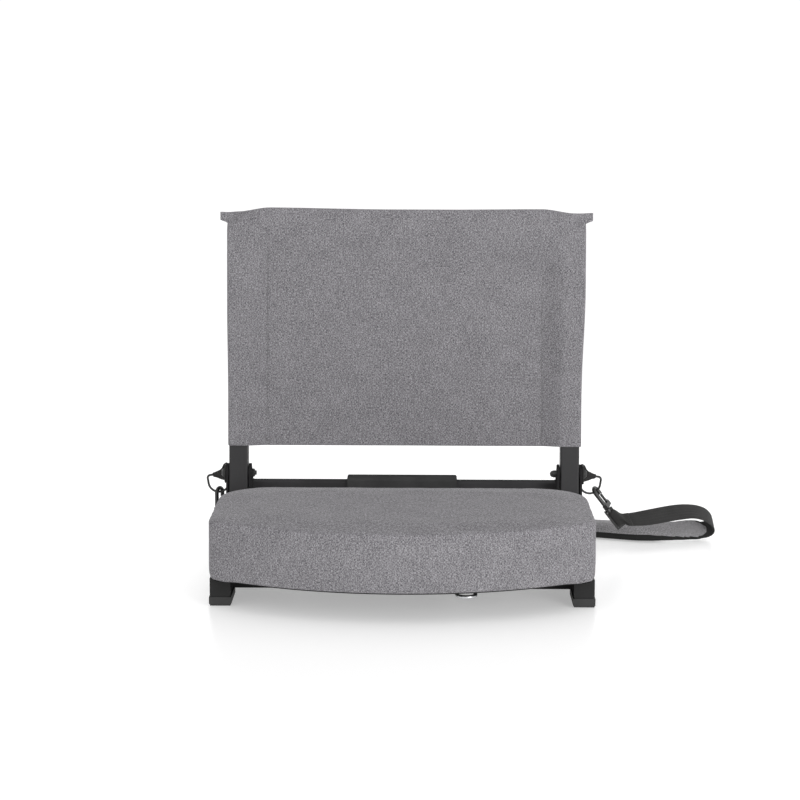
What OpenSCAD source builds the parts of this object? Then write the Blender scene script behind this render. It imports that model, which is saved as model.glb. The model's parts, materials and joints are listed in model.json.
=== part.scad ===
// Folding bleacher seat: tube base with a box cushion, a sling back that folds forward, and a shoulder strap.
// +X is the sitter's left hand side seen from the front as right, +Y is backward, +Z is up, the floor is z = 0.

/* [Tube frame] */
// Side of the square steel tube
tube = 25.4; // [24:0.1:26.4]
// Wall of the square tube
tube_wall = 1.5; // [1.2:0.1:2.2]
// Outer corner radius of the tube
tube_corner = 2.4; // [2.3:0.1:3]
// Width over both side rails
frame_w = 475; // [450:1:520]
// Length of a side rail
rail_len = 336; // [334:1:360]

/* [Feet] */
// Height of a rubber foot
foot_h = 11; // [9:0.5:14]
// Length of a rubber foot
foot_len = 60; // [40:1:66]
// How far a foot stands proud of its rail
foot_proud = 1; // [0.5:0.1:2]
// Diameter of the peg that holds a foot in its rail
foot_peg_d = 8; // [6:0.5:10]

/* [Cross bars] */
// Front bar's front face, behind the rail fronts
front_bar_y = 45; // [40:1:60]
// Middle bar's front face, before the cushion's rear edge
middle_bar_in = 48; // [46:1:60]
// Rear bar's front face, behind the rail fronts
rear_bar_y = 308; // [306:0.5:309]
// Rear bar's top above the floor
rear_bar_top = 94; // [92:0.5:100]

/* [Grip] */
// Length of the foam grip on the rear bar
grip_len = 151; // [100:1:180]
// Thickness of the foam grip
grip_wall = 5.5; // [4:0.5:8]
// Sideways place of the grip's middle
grip_x = -3; // [-20:1:20]
// Corner chamfer of the foam grip
grip_chamfer = 2.5; // [1:0.5:3]

/* [Cushion] */
// How far the cushion's side seam stands inside its rail's outer face
cushion_in = 0.5; // [0.5:0.5:12]
// Length of the cushion from its front corners to its rear edge
cushion_d = 208; // [200:1:224]
// How far the front edge bows out beyond the front corners
cushion_bow = 73; // [40:1:80]
// How far the front corners stand before the rail fronts
cushion_front = 13; // [5:1:20]
// Height of the top seam above the cushion's underside
cushion_h = 72.5; // [66:0.5:73]
// Crown of the top above the seam
crown = 5.5; // [4:0.5:8]
// How far the boxing swells out between its edges
boxing_swell = 1.5; // [0:0.1:2.5]
// Radius of the rear corners in plan
rear_corner = 70; // [40:1:80]
// Radius of the front corners in plan
front_corner = 14; // [12:1:20]
// Thickness of the plywood seat board
board_t = 9; // [6:0.5:12]
// Thickness of the fabric
cloth = 1.5; // [1:0.1:2]
// Thickness of the black dust cover
dust_t = 0.8; // [0.5:0.1:1.2]

/* [Back] */
// Lean of the back at rest, behind upright
recline = 6; // [3:0.5:8]
// Pivot behind the rail fronts
pivot_y = 287.8; // [286:0.1:289]
// Pivot above the floor
pivot_z = 111; // [110:0.5:114]
// Top of the back frame above the pivot, along the posts
back_len = 356; // [320:1:380]
// Bend radius of the frame's top corners, on the tube's centre line
bend_r = 34; // [30:1:60]
// Length of post below the pivot
post_tail = 42; // [38:1:46]
// Cover's bottom edge above the pivot, along the posts
cover_gap = 38; // [36:0.5:60]
// Width of the sewn sleeve from the cover's outer edge to its stitch line
sleeve_w = 53; // [50:1:70]
// How far the corner ears stand out
ear_w = 10; // [4:1:12]
// Height of the corner ears
ear_h = 11; // [8:1:16]

/* [Hinge] */
// Thickness of a hinge plate
plate_t = 3; // [2.5:0.1:4]
// Thickness of the nylon washer between post and plate
spacer_t = 1.2; // [0.8:0.1:1.6]
// Radius of a hinge plate's round top
plate_r = 13; // [12:0.5:14]
// Diameter of the pivot bolt
bolt_d = 6; // [5:0.5:8]
// Radial running clearance on the pivot bolt and the other pins
run_gap = 0.05; // [0.02:0.01:0.1]
// Stop pin below the pivot, along the post
stop_drop = 30; // [26:1:34]
// Diameter of the stop pin
stop_d = 6; // [5:0.5:7]

/* [Tab and ring] */
// Width of the webbing
web_w = 25; // [20:1:26]
// Thickness of one layer of webbing
web_t = 1.2; // [1:0.1:1.6]
// Wire of the D-ring
ring_wire = 3; // [2.5:0.1:3.4]
// Half of the D-ring's width, on its centre line
ring_r = 14.2; // [14:0.1:14.4]
// Straight side of the D-ring below its bar
ring_side = 6.8; // [6:0.1:8]
// Corner radius at the ends of the ring's bar
ring_corner = 4; // [3:0.5:5]
// How far the ring's middle stands out from its rail's outer face
ring_out = 18.8; // [18.5:0.1:19.5]
// Ring bar behind the pivot
ring_back = 18.2; // [18:0.1:19]
// Ring bar below the pivot
ring_drop = 5.7; // [5:0.1:6.5]
// Slope of the ring's bar, outer end down
ring_roll = 9; // [6:0.5:10]

/* [Snap hook] */
// Radius of the hook's bend, on its centre line
hook_r = 6.6; // [6.4:0.1:6.8]
// Wire of the hook
hook_wire = 5.4; // [5.2:0.1:5.5]
// Straight length of the hook's shaft
hook_len = 26; // [25:0.5:27]
// Thickness of the gate
gate_t = 2.4; // [2:0.1:2.6]

/* [Bench hook] */
// Rod of the bench hook
rod_d = 5; // [4:0.1:5.4]
// Height of the rod's centre above the floor
rod_z = 28; // [27:0.5:29]
// Sideways place of the shank
rod_x = 67; // [40:1:90]
// Bend radius of the hook, on its centre line
rod_bend = 11; // [9:0.5:12]
// Length of shank from the pivot pin to the bend
rod_len = 81; // [70:1:86]
// Length of the tip beyond the bend
rod_tip = 15; // [10:1:20]

/* [Hidden] */
$fn = 48;
eps = 0.01;
SIDES = [-1, 1];

// Frame values
rail_top = foot_h + tube;
rail_x = frame_w / 2 - tube / 2;
rail_inner_x = frame_w / 2 - tube;
ring_x = frame_w / 2 + ring_out;
cushion_w = frame_w - 2 * cushion_in;
middle_bar_y = cushion_d - cushion_front - middle_bar_in;
plug_t = 2;
plug_in = 10;
// Longer than the whole seat is wide, for cuts that go right through
far = 300;
// The model's origin lies midway between the cushion's front and the rearmost point, so the rails start here
boxing_out = (boxing_swell + 0.6) * sin(72) - 0.6;
front_reach = cushion_front + cushion_bow + boxing_out;
cover_half = tube / 2 + cloth;
rear_reach = max(rail_len, pivot_y + (back_len + cloth) * sin(recline) + cover_half * cos(recline));
rail_y = (front_reach - rear_reach) / 2;
pivot = [0, rail_y + pivot_y, pivot_z];

// Hinge stack, outward from the post's sides
outer_face = frame_w / 2;
plate_gap_out = outer_face + spacer_t;
plate_out = plate_gap_out + plate_t;
plate_gap_in = rail_inner_x - spacer_t;
plate_in = plate_gap_in - plate_t;
tab_out = plate_out + 2 * web_t;
bolt_head_h = 3.5;
bolt_head_d = 11;
nut_d = 11.5;
tab_washer_d = 13.4;
head_room_d = 14;
bolt_washer_t = 1.2;
nut_h = 5;
drop = pivot_z - rail_top;
plate_bolt_d = 6;
plate_bolt_z = foot_h + tube / 2;
plate_bolt_front = 20;
plate_bolt_back = 30;
plate_bolt_y = [-plate_bolt_front, plate_bolt_back];
stop_w = tube / 2 + stop_d / 2 + 0.1;
stop_at = [-stop_drop * sin(recline) - stop_w * cos(recline), -stop_drop * cos(recline) + stop_w * sin(recline)];

// Cushion values
under_z = rail_top + dust_t;
board_z = under_z + cloth;
seam_z = under_z + cushion_h;
front_edge_y = rail_y - cushion_front;
rear_edge_y = front_edge_y + cushion_d;
bow_r = (pow(cushion_w / 2, 2) + pow(cushion_bow, 2)) / (2 * cushion_bow);
bow_centre_y = front_edge_y - cushion_bow + bow_r;
screw_x = 130;
screw_d = 5;
screw_head_h = 2.6;
screw_ys = [front_bar_y + tube / 2, middle_bar_y + tube / 2];
tee_d = 18;
tee_t = 1.2;
tee_barrel_d = 7;

// Ring bar and hook places: point of the shaft's foot, tilt about Y, spin about the shaft
ring_bar_y = rail_y + pivot_y + ring_back;
ring_bar_z = pivot_z - ring_drop;
fold_r = ring_wire / 2 + web_t;
// Tilt about Y and spin about the shaft of the left and the right hook
hook_turns = [[0, -30], [-38, -20]];
// Where on the ring's bow each hook hangs, measured from the bow's foot
hook_on_bow = [4, 38];

// A ring's bow centre and the point of its wire where the hook hangs
function bow_centre(side) = let (a = side * ring_roll, d = ring_corner + ring_side)
    [side * ring_x - d * sin(a), ring_bar_y, ring_bar_z - d * cos(a)];
function hook_wire_point(k) = let (side = k == 0 ? -1 : 1, a = hook_on_bow[k])
    bow_centre(side) + ring_r * [side * sin(a) * (k == 0 ? -1 : 1), 0, -cos(a)];

// A hook's directions in space: across its tilt, along its shaft and toward its tip
function tilt_x(k) = [cos(hook_turns[k][0]), 0, -sin(hook_turns[k][0])];
function tilt_z(k) = [sin(hook_turns[k][0]), 0, cos(hook_turns[k][0])];
function tip_dir(k) = let (a = hook_turns[k][1]) -sin(a) * tilt_x(k) + cos(a) * [0, 1, 0];
// Foot of the shaft: the bend hangs on the ring's wire with a little play
hang_play = [1.2, 0.6];
function hook_drop(k) = hook_r - hook_wire / 2 - ring_wire / 2 - hang_play[k];
function hook_foot(k) = hook_wire_point(k) - (hook_len + hook_drop(k)) * tilt_z(k) - hook_r * tip_dir(k);
HOOKS = [for (k = [0, 1]) [hook_foot(k), hook_turns[k][0], hook_turns[k][1]]];

collar_h = 3.2;
head_t = 1.2;
neck_d = 4;
eye_w = 13;
eye_t = 4;
eye_bar = 3;
eye_foot = 2.4;
window_top = -0.4 - collar_h;
window_len = 26.4;
// Turn of each eye about its shaft, so that its strap leaves backward on the left and sideways on the right
eye_turns = [90, 0];
gate_pin_d = 2;
gate_w = 3.6;
gate_at = 3.4;

// Bench hook values
rod_pivot_fore = 14;
rod_pivot_y = rail_y + front_bar_y - rod_pivot_fore;
swivel_r = 4;
swivel_w = 11;
swivel_len = 16;
window_y = [5, 8];
ear_t = 2;
bracket_gap = 0.4;

// Helpers

// Square section with rounded corners, centred
module round_square(side, r) {
    square([side - 2 * r, side], center = true);
    square([side, side - 2 * r], center = true);
    for (x = SIDES, y = SIDES) translate([x, y] * (side / 2 - r)) circle(r);
}

// Tube's section
module tube_section() {
    difference() {
        round_square(tube, tube_corner);
        round_square(tube - 2 * tube_wall, tube_corner - tube_wall);
    }
}

// Turns a thing that stands along Z to run along Y or along X
module along_y() rotate([-90, 0, 0]) children();
module along_x() rotate([0, 90, 0]) children();

// Extrudes a drawing of the Y-Z plane along X, from x0 over a length
module side_sheet(x0, t) translate([x0, 0, 0]) rotate([90, 0, 90]) linear_extrude(t) children();

// A side sheet that starts at distance near from the middle plane and grows outward on the given side
module side_plate(side, near, t) side_sheet(side > 0 ? near : -near - t, t) children();

module drill_x(at, d, x0 = -far, x1 = far) {
    translate([x0, at[1], at[2]]) along_x() cylinder(h = x1 - x0, d = d);
}

// Carries the back's own frame, with its origin at the pivot and Z along the posts, to its place
module back_place() translate(pivot) rotate([-recline, 0, 0]) children();

// Rails, plugs and feet

function foot_peg_y() = [foot_len / 2, rail_len - foot_len / 2];

module side_rail(side) {
    color("#2b2b2c") difference() {
        translate([side * rail_x, rail_y + plug_t, foot_h + tube / 2])
            along_y() linear_extrude(rail_len - 2 * plug_t) tube_section();
        for (y = plate_bolt_y) drill_x([0, pivot[1] + y, plate_bolt_z], plate_bolt_d);
        for (y = foot_peg_y())
            translate([side * rail_x, rail_y + y, 0]) cylinder(h = foot_h + tube / 2, d = foot_peg_d);
    }
}

module rail_plug(side, back) {
    inner = tube - 2 * tube_wall;
    translate([side * rail_x, rail_y + (back ? rail_len : 0), foot_h + tube / 2])
        mirror([0, back ? 1 : 0, 0]) along_y() {
            linear_extrude(plug_t) round_square(tube, tube_corner);
            translate([0, 0, plug_t]) linear_extrude(plug_in) round_square(inner, tube_corner - tube_wall);
        }
}

module rail_plugs(back) color("#242425") for (s = SIDES) rail_plug(s, back);

module foot(side, back) {
    w = tube + 2 * foot_proud;
    lip = 2;
    y0 = back ? rail_len + foot_proud - foot_len : -foot_proud;
    peg_y = back ? rail_len - foot_len / 2 : foot_len / 2;
    color("#363637") translate([side * rail_x, rail_y, 0]) {
        translate([-w / 2, y0, lip]) cube([w, foot_len, foot_h - lip]);
        translate([-w / 2 + lip / 2, y0 + lip / 2, 0]) cube([w - lip, foot_len - lip, lip]);
        translate([0, peg_y, foot_h - eps]) cylinder(h = 6, d = foot_peg_d);
    }
}

// Cross bars

module seat_bar(y) {
    color("#2b2b2c") difference() {
        translate([-rail_inner_x, rail_y + y + tube / 2, foot_h + tube / 2])
            along_x() linear_extrude(2 * rail_inner_x) tube_section();
        for (s = SIDES) translate([s * screw_x, rail_y + y + tube / 2, 0]) cylinder(h = rail_top + 1, d = screw_d);
    }
}

rear_bar_c = [rail_y + rear_bar_y + tube / 2, rear_bar_top - tube / 2];

module rear_crossbar() {
    color("#2b2b2c") translate([-plate_in, rear_bar_c[0], rear_bar_c[1]])
        along_x() linear_extrude(2 * plate_in) tube_section();
}

module chamfered_square(side, c) {
    h = side / 2;
    polygon([
        [h - c, -h], [h, c - h], [h, h - c], [h - c, h],
        [c - h, h], [-h, h - c], [-h, c - h], [c - h, -h]
    ]);
}

module handle_grip() {
    side = tube + 2 * grip_wall;
    color("#2f2f2e") translate([grip_x - grip_len / 2, rear_bar_c[0], rear_bar_c[1]]) along_x() difference() {
        union() {
            linear_extrude(grip_len) chamfered_square(side - 2, grip_chamfer);
            translate([0, 0, 1]) linear_extrude(grip_len - 2) chamfered_square(side, grip_chamfer);
        }
        translate([0, 0, -1]) linear_extrude(grip_len + 2) round_square(tube, tube_corner);
    }
}

// Hinge plates: drawn in the Y-Z plane with the pivot at the origin

plate_above_floor = 3;
plate_rise = 6;
plate_low = -(drop + tube - plate_above_floor);
plate_step = -(drop - plate_rise);
joggle_h = 5;
waist_front = 4;
waist_back = 6;
foot_plate_front = 17;
foot_plate_back = 27;
shoulder_h = 8;

module outer_outline() {
    circle(plate_r);
    polygon([
        [-plate_r, 0], [-plate_r - waist_front, plate_step],
        [-plate_r - foot_plate_front, plate_step - shoulder_h], [-plate_r - foot_plate_front, plate_low],
        [plate_r + foot_plate_back, plate_low], [plate_r + foot_plate_back, plate_step - shoulder_h],
        [plate_r + waist_back, plate_step], [plate_r, 0]
    ]);
}

module inner_outline() {
    bar_back = rear_bar_c[0] + tube / 2 - pivot[1];
    bar_top = rear_bar_top - pivot_z;
    circle(plate_r);
    polygon([
        [-plate_r, 0], [-plate_r - waist_front, plate_step],
        [-plate_r - foot_plate_front, plate_step - shoulder_h], [-plate_r - foot_plate_front, plate_low],
        [bar_back, plate_low], [bar_back, bar_top], [bar_back - tube * 0.6, bar_top + 2], [plate_r * 0.6, plate_r * 0.8],
        [0, 0]
    ]);
}

// A band of the Y-Z drawing between two heights
module band(z0, z1) translate([-far, z0]) square([2 * far, z1 - z0]);

// A plate whose upper part stands off by the spacer and whose foot lies flat on the rail
module joggled_plate(side, near_up, near_low) {
    color("#333334") difference() {
        translate(pivot) {
            side_plate(side, near_up, plate_t) intersection() { children(0); band(plate_step, far); }
            side_plate(side, near_low, plate_t) intersection() { children(0); band(-far, plate_step + joggle_h); }
        }
        drill_x(pivot, bolt_d);
        translate([0, pivot[1] + stop_at[0], pivot_z + stop_at[1]]) drill_x([0, 0, 0], stop_d);
        for (y = plate_bolt_y) drill_x([0, pivot[1] + y, plate_bolt_z], plate_bolt_d);
    }
}

module hinge_plate_outer(side) joggled_plate(side, plate_gap_out, outer_face) outer_outline();
module hinge_plate_inner(side) joggled_plate(side, plate_in, rail_inner_x - plate_t) inner_outline();

module round_head(d, h) {
    cylinder(h = h * 0.45, d = d);
    translate([0, 0, h * 0.45]) cylinder(h = h * 0.55, d1 = d, d2 = d * 0.6);
}

module plate_bolts() {
    color("#2a2a2b") for (s = SIDES, y = plate_bolt_y) {
        out = outer_face + plate_t;
        translate([0, pivot[1] + y, plate_bolt_z]) {
            translate([s > 0 ? plate_in : -out, 0, 0]) along_x() cylinder(h = out - plate_in, d = plate_bolt_d);
            translate([s * out, 0, 0]) rotate([0, s * 90, 0]) round_head(bolt_head_d, bolt_head_h);
        }
    }
}

module plate_nuts() {
    near = rail_inner_x - plate_t;
    color("#2a2a2b") for (s = SIDES, y = plate_bolt_y)
        translate([s * near, pivot[1] + y, plate_bolt_z]) rotate([0, -s * 90, 0]) difference() {
            cylinder(h = nut_h, d = nut_d, $fn = 6);
            translate([0, 0, -1]) cylinder(h = nut_h + 2, d = plate_bolt_d);
        }
}

module stop_pin(side) {
    x0 = side > 0 ? plate_in : -plate_out;
    color("#3a3a3b") translate([x0, pivot[1] + stop_at[0], pivot_z + stop_at[1]])
        along_x() cylinder(h = plate_out - plate_in, d = stop_d);
}

// Pivots

module pivot_bolt(side) {
    far = tab_out + bolt_washer_t;
    near = plate_in - nut_h - (side < 0 ? 2 : 0);
    color("#2a2a2b") translate([0, pivot[1], pivot_z]) {
        translate([side > 0 ? near : -far, 0, 0]) along_x() cylinder(h = far - near, d = bolt_d);
        translate([side * far, 0, 0]) rotate([0, side * 90, 0]) round_head(bolt_head_d, bolt_head_h);
    }
}

module pivot_nut(side) {
    color("#303031") translate([side * plate_in, pivot[1], pivot_z]) rotate([0, -side * 90, 0]) difference() {
        if (side < 0) {
            cylinder(h = nut_h - 1, d = nut_d, $fn = 6);
            cylinder(h = nut_h, d = 9);
        } else {
            cylinder(h = nut_h, d = 10);
            translate([0, 0, nut_h - eps]) rotate_extrude() intersection() {
                circle(4.6);
                square(5);
            }
        }
        translate([0, 0, -1]) cylinder(h = side < 0 ? nut_h + 2 : nut_h + 1, d = bolt_d);
    }
}

module pivot_spacers(side) {
    color("#1f1f20") for (x = [plate_gap_in, outer_face])
        translate([side > 0 ? x : -x - spacer_t, pivot[1], pivot_z]) along_x() difference() {
            cylinder(h = spacer_t, d = 20);
            translate([0, 0, -1]) cylinder(h = spacer_t + 2, d = bolt_d);
        }
}

// Cushion

// Points of a run along an arc that bulges to -Y at angle 0 and turns toward +X
function arc(c, r, a0, a1, n) = [for (k = [0:n]) let (a = a0 + (a1 - a0) * k / n) [c[0] + r * sin(a), c[1] - r * cos(a)]];

// Plan outline of the cushion, drawn in by an inset: front bow, corner, side and rear corner, then the same mirrored
function outline(i) =
    let (
        h = cushion_w / 2 - i,
        big = bow_r - i,
        f = max(front_corner - i, 2),
        fx = h - f,
        fy = bow_centre_y - sqrt(pow(big - f, 2) - pow(fx, 2)),
        a = atan2(fx, bow_centre_y - fy),
        rc = max(rear_corner - i, 4),
        ry = rear_edge_y - i - rc,
        front = arc([0, bow_centre_y], big, 0, a, 9),
        turn = arc([fx, fy], f, a + (90 - a) / 3, 90, 2),
        side = [for (k = [1:3]) [h, fy + (ry - fy) * k / 4]],
        rear = arc([h - rc, ry], rc, 90, 180, 5),
        back = [for (k = [1:3]) [(h - rc) * (1 - k / 3), rear_edge_y - i]],
        right = concat(front, turn, side, rear, back),
        n = len(right)
    )
    concat(right, [for (k = [n - 2:-1:1]) [-right[k][0], right[k][1]]]);

// A closed solid through rings, each an inset and a height, capped by a flat floor and a top point
module ringed_form(rings, top) {
    n = len(outline(0));
    m = len(rings);
    points = concat(
        [for (r = rings) for (p = outline(r[0])) [p[0], p[1], r[1]]],
        [top, [0, top[1], rings[0][1]]]
    );
    walls = [for (j = [0:m - 2]) for (k = [0:n - 1])
        let (a = j * n + k, b = j * n + (k + 1) % n)
        each [[a, a + n, b + n], [a, b + n, b]]];
    lid = [for (k = [0:n - 1]) [(m - 1) * n + k, m * n, (m - 1) * n + (k + 1) % n]];
    floor = [for (k = [0:n - 1]) [k, (k + 1) % n, m * n + 1]];
    polyhedron(points, concat(walls, lid, floor));
}

// Crown above the seam: rises fast behind the seam and levels off inward
CROWN = [[3, 0.24], [10, 0.5], [24, 0.74], [48, 0.9], [85, 1]];
centre_y = rear_edge_y - 100;

function cover_rings() = concat(
    [[8, under_z], [3, under_z + 1.6], [0.6, under_z + 6]],
    [for (k = [1:4]) [0.6 - (boxing_swell + 0.6) * sin(36 * k), under_z + 6 + (cushion_h - 8) * k / 5]],
    [[0, seam_z - 2], [0.8, seam_z]],
    [for (c = CROWN) [c[0], seam_z + crown * c[1]]]
);

foam_z = board_z + board_t;
board_inset = 7;
function foam_rings() = concat(
    [[cloth + 4, board_z], [cloth + 1, board_z + 5]],
    [for (k = [1:3]) [cloth + 0.6 - (boxing_swell + 0.6) * sin(45 * k), foam_z + (seam_z - 4 - foam_z) * k / 4]],
    [[cloth + 0.4, seam_z - 3.5], [cloth + 3, seam_z - cloth]],
    [for (c = CROWN) [c[0] + cloth + 2, seam_z + crown * c[1] - cloth]]
);

module foam_solid() ringed_form(foam_rings(), [0, centre_y, seam_z + crown - cloth]);
module board_solid(extra) plan_slab(board_inset, board_z - extra, board_t + extra);

module plan_slab(i, z, t) translate([0, 0, z]) linear_extrude(t) polygon(outline(i));

module at_screws() {
    for (s = SIDES, y = screw_ys) translate([s * screw_x, rail_y + y, 0]) children();
}

module seat_board() {
    color("#b08a5a") difference() {
        board_solid(0);
        at_screws() {
            translate([0, 0, foam_z - tee_t]) cylinder(h = tee_t + 1, d = tee_d);
            translate([0, 0, board_z - 1]) cylinder(h = board_t + 2, d = tee_barrel_d);
        }
    }
}

module seat_foam() {
    color("#d8cfae") difference() {
        foam_solid();
        board_solid(1);
    }
}

module seat_cover() {
    color("#858388") difference() {
        ringed_form(cover_rings(), [0, centre_y, seam_z + crown]);
        foam_solid();
        board_solid(0);
        plan_slab(24, under_z - 1, 4);
    }
}

module dust_cover() {
    color("#1c1c1d") difference() {
        plan_slab(10, rail_top, dust_t);
        at_screws() translate([0, 0, rail_top - 1]) cylinder(h = dust_t + 2, d = screw_d);
    }
}

module seat_screws() {
    color("#8a8b8e") at_screws() {
        translate([0, 0, foot_h]) cylinder(h = foam_z - tee_t - foot_h, d = screw_d);
        translate([0, 0, foot_h - screw_head_h]) cylinder(h = screw_head_h, d1 = 7, d2 = 10);
    }
}

module tee_nuts() {
    color("#9a9b9e") at_screws() difference() {
        union() {
            translate([0, 0, foam_z - tee_t]) cylinder(h = tee_t, d = tee_d);
            translate([0, 0, board_z]) cylinder(h = board_t - tee_t, d = tee_barrel_d);
        }
        translate([0, 0, board_z - 1]) cylinder(h = board_t + 2, d = screw_d);
    }
}

// Back frame: one tube bent into a U, standing on the pivot

post_x = rail_x;
bend_z = back_len - tube / 2 - bend_r;

// The U's path swept with any centred section, with legs that go down to a height
module u_path(low) {
    for (s = SIDES) {
        translate([s * post_x, 0, low]) linear_extrude(bend_z - low) children();
        translate([s * (post_x - bend_r), 0, bend_z]) rotate([90, 0, 0])
            rotate([0, 0, s > 0 ? 0 : 90]) rotate_extrude(angle = 90) translate([bend_r, 0]) children();
    }
    translate([-(post_x - bend_r), 0, bend_z + bend_r]) along_x()
        linear_extrude(2 * (post_x - bend_r)) children();
}

module back_frame() {
    color("#3f3f41") back_place() difference() {
        u_path(-post_tail) tube_section();
        drill_x([0, 0, 0], bolt_d + 2 * run_gap);
    }
}

module post_plug(side) {
    inner = tube - 2 * tube_wall;
    color("#242425") back_place() translate([side * post_x, 0, -post_tail]) {
        translate([0, 0, -plug_t]) linear_extrude(plug_t) round_square(tube, tube_corner);
        linear_extrude(plug_in) round_square(inner, tube_corner - tube_wall);
    }
}

// Sleeve's half section: from the stitch line, where the two layers meet, round the tube's outside
cover_x = frame_w / 2 + cloth;
stitch_x = cover_x - sleeve_w;

// Section of a sleeve round a square tube, from the stitch to the outer edge, in X and depth
module sleeve_section(grow) {
    h = tube / 2 + grow;
    x1 = tube / 2 + grow;
    x0 = stitch_x - post_x;
    lip = grow > 0 ? cloth : 0.2;
    c = grow > 0 ? 1.8 : 1.1;
    polygon([
        [x0, -lip], [-tube / 2 - grow, -h], [x1 - c, -h], [x1, c - h],
        [x1, h - c], [x1 - c, h], [-tube / 2 - grow, h], [x0, lip]
    ]);
}

module sleeve_leg(side, grow, low, high) {
    translate([side * post_x, 0, low]) mirror([side > 0 ? 0 : 1, 0, 0])
        linear_extrude(high - low) sleeve_section(grow);
}

module sleeve_top(grow, half) {
    translate([-half, 0, back_len - tube / 2]) along_x() linear_extrude(2 * half)
        rotate(180) sleeve_section(grow);
}

module back_cover() {
    top = back_len + cloth;
    color("#858388") back_place() difference() {
        union() {
            for (s = SIDES) {
                sleeve_leg(s, cloth, cover_gap, top);
                translate([s > 0 ? cover_x - eps : -cover_x - ear_w, -cloth, top - ear_h])
                    cube([ear_w + eps, 2 * cloth, ear_h]);
            }
            sleeve_top(cloth, cover_x);
            u_path(bend_z - 20) round_square(tube + 2 * cloth, tube_corner);
            translate([-post_x, -cloth, cover_gap]) cube([2 * post_x, 2 * cloth, top - cover_gap - tube]);
        }
        for (s = SIDES) sleeve_leg(s, 0, cover_gap - 1, back_len);
        sleeve_top(0, frame_w / 2);
        u_path(cover_gap - 1) round_square(tube, tube_corner);
    }
}

// Places a ring's frame: X along its bar, with the bow hanging below
module ring_place(side) {
    translate([side * ring_x, ring_bar_y, ring_bar_z]) rotate([0, side * ring_roll, 0]) children();
}

// Webbing tab under the pivot bolt, drawn together to a fold round the ring's bar
module ring_tab(side) {
    color("#232322") difference() {
        union() {
            tab_flat(side, 11, 20);
            hull() {
                tab_flat(side, -2, 5);
                ring_place(side) translate([side > 0 ? 1 : -6.6, 0, 0]) along_x()
                    cylinder(h = 5.6, r = fold_r, $fn = 32);
            }
        }
        drill_x(pivot, bolt_d);
        // Room for the bolt's head and washer
        translate([side > 0 ? tab_out : -tab_out - ring_out, pivot[1], pivot_z])
            along_x() cylinder(h = ring_out, d = head_room_d);
        ring_place(side) translate([-ring_out, 0, 0]) along_x() cylinder(h = 2 * ring_out, d = ring_wire + 2 * run_gap);
    }
}

// The tab's flat part, from a start before the pivot over a length
module tab_flat(side, before, length) {
    side_plate(side, plate_out, 2 * web_t) translate([pivot[1] - before, pivot_z - web_w / 2])
        square([length, web_w]);
}

module tab_washers() {
    color("#3a3a3b") for (s = SIDES)
        translate([s > 0 ? tab_out : -tab_out - bolt_washer_t, pivot[1], pivot_z]) along_x() difference() {
            cylinder(h = bolt_washer_t, d = tab_washer_d);
            translate([0, 0, -1]) cylinder(h = bolt_washer_t + 2, d = bolt_d);
        }
}

// Part of a wire ring in the X-Z plane
module wire_bend(r, a0, a1) {
    rotate([90, 0, 0]) rotate([0, 0, a0]) rotate_extrude(angle = a1 - a0) translate([r, 0]) circle(d = ring_wire);
}

module d_ring(side) {
    half_bar = ring_r - ring_corner;
    color("#262627") ring_place(side) {
        translate([-half_bar, 0, 0]) along_x() cylinder(h = 2 * half_bar, d = ring_wire);
        for (s = SIDES) {
            translate([s * half_bar, 0, -ring_corner])
                wire_bend(ring_corner, s > 0 ? 0 : 90, s > 0 ? 90 : 180);
            translate([s * ring_r, 0, -ring_corner - ring_side]) cylinder(h = ring_side, d = ring_wire);
        }
        translate([0, 0, -ring_corner - ring_side]) wire_bend(ring_r, 180, 360);
    }
}

// Snap hook in its own frame: Z up the shaft, Y across to the tip

module hook_place(h) translate(h[0]) rotate([0, h[1], 0]) rotate([0, 0, h[2]]) children();

tip_low = hook_len - 6;
heel_h = 6.5;

module snap_hook(h) {
    color("#1d1d1e") hook_place(h) difference() {
        union() {
            cylinder(h = hook_len, d = hook_wire);
            translate([0, hook_r, hook_len]) rotate([90, 0, 90]) rotate_extrude(angle = 180)
                translate([hook_r, 0]) circle(d = hook_wire);
            translate([0, 2 * hook_r, tip_low]) cylinder(h = hook_len - tip_low, d = hook_wire);
            translate([-3, -hook_wire / 2, 0]) cube([6, 2 * hook_r + hook_wire, heel_h]);
            translate([0, 0, window_top - 0.3]) cylinder(h = 1 - window_top, d = neck_d);
            translate([0, 0, window_top - 0.3 - head_t]) cylinder(h = head_t, d = neck_d + 2.4);
        }
        // Slot and pin hole for the gate
        translate([-gate_t / 2 - 0.2, hook_wire / 2 + 1.2, 0.8]) cube([gate_t + 0.4, 20, 20]);
        translate([-5, 2 * hook_r, gate_at]) along_x() cylinder(h = 10, d = gate_pin_d + 2 * run_gap);
    }
}

module hook_gate(h) {
    color("#5c5c5e") hook_place(h) {
        translate([-gate_t / 2, 2 * hook_r - gate_w / 2, gate_at]) cube([gate_t, gate_w, tip_low - gate_at - 0.3]);
        translate([-gate_t / 2, 2 * hook_r, gate_at]) along_x() cylinder(h = gate_t, d = gate_w);
        translate([-3, 2 * hook_r, gate_at]) along_x() cylinder(h = 6, d = gate_pin_d);
    }
}

// Thumb loop of the gate: a thin pressed loop that stands off it
lever_t = 1.2;
module gate_lever(h) {
    color("#b9bcbf") hook_place(h) translate([-lever_t / 2, 2 * hook_r + gate_w / 2, 0]) rotate([90, 0, 90])
        linear_extrude(lever_t) difference() {
            polygon([[0, 6], [0, 9.6], [1, 9.9], [5, 7], [6.4, -1], [5.4, -1.3], [0, 4]]);
            polygon([[1, 6.2], [1, 8.6], [4.2, 6.4], [5.1, 0.6], [1, 4.6]]);
        }
}

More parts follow.
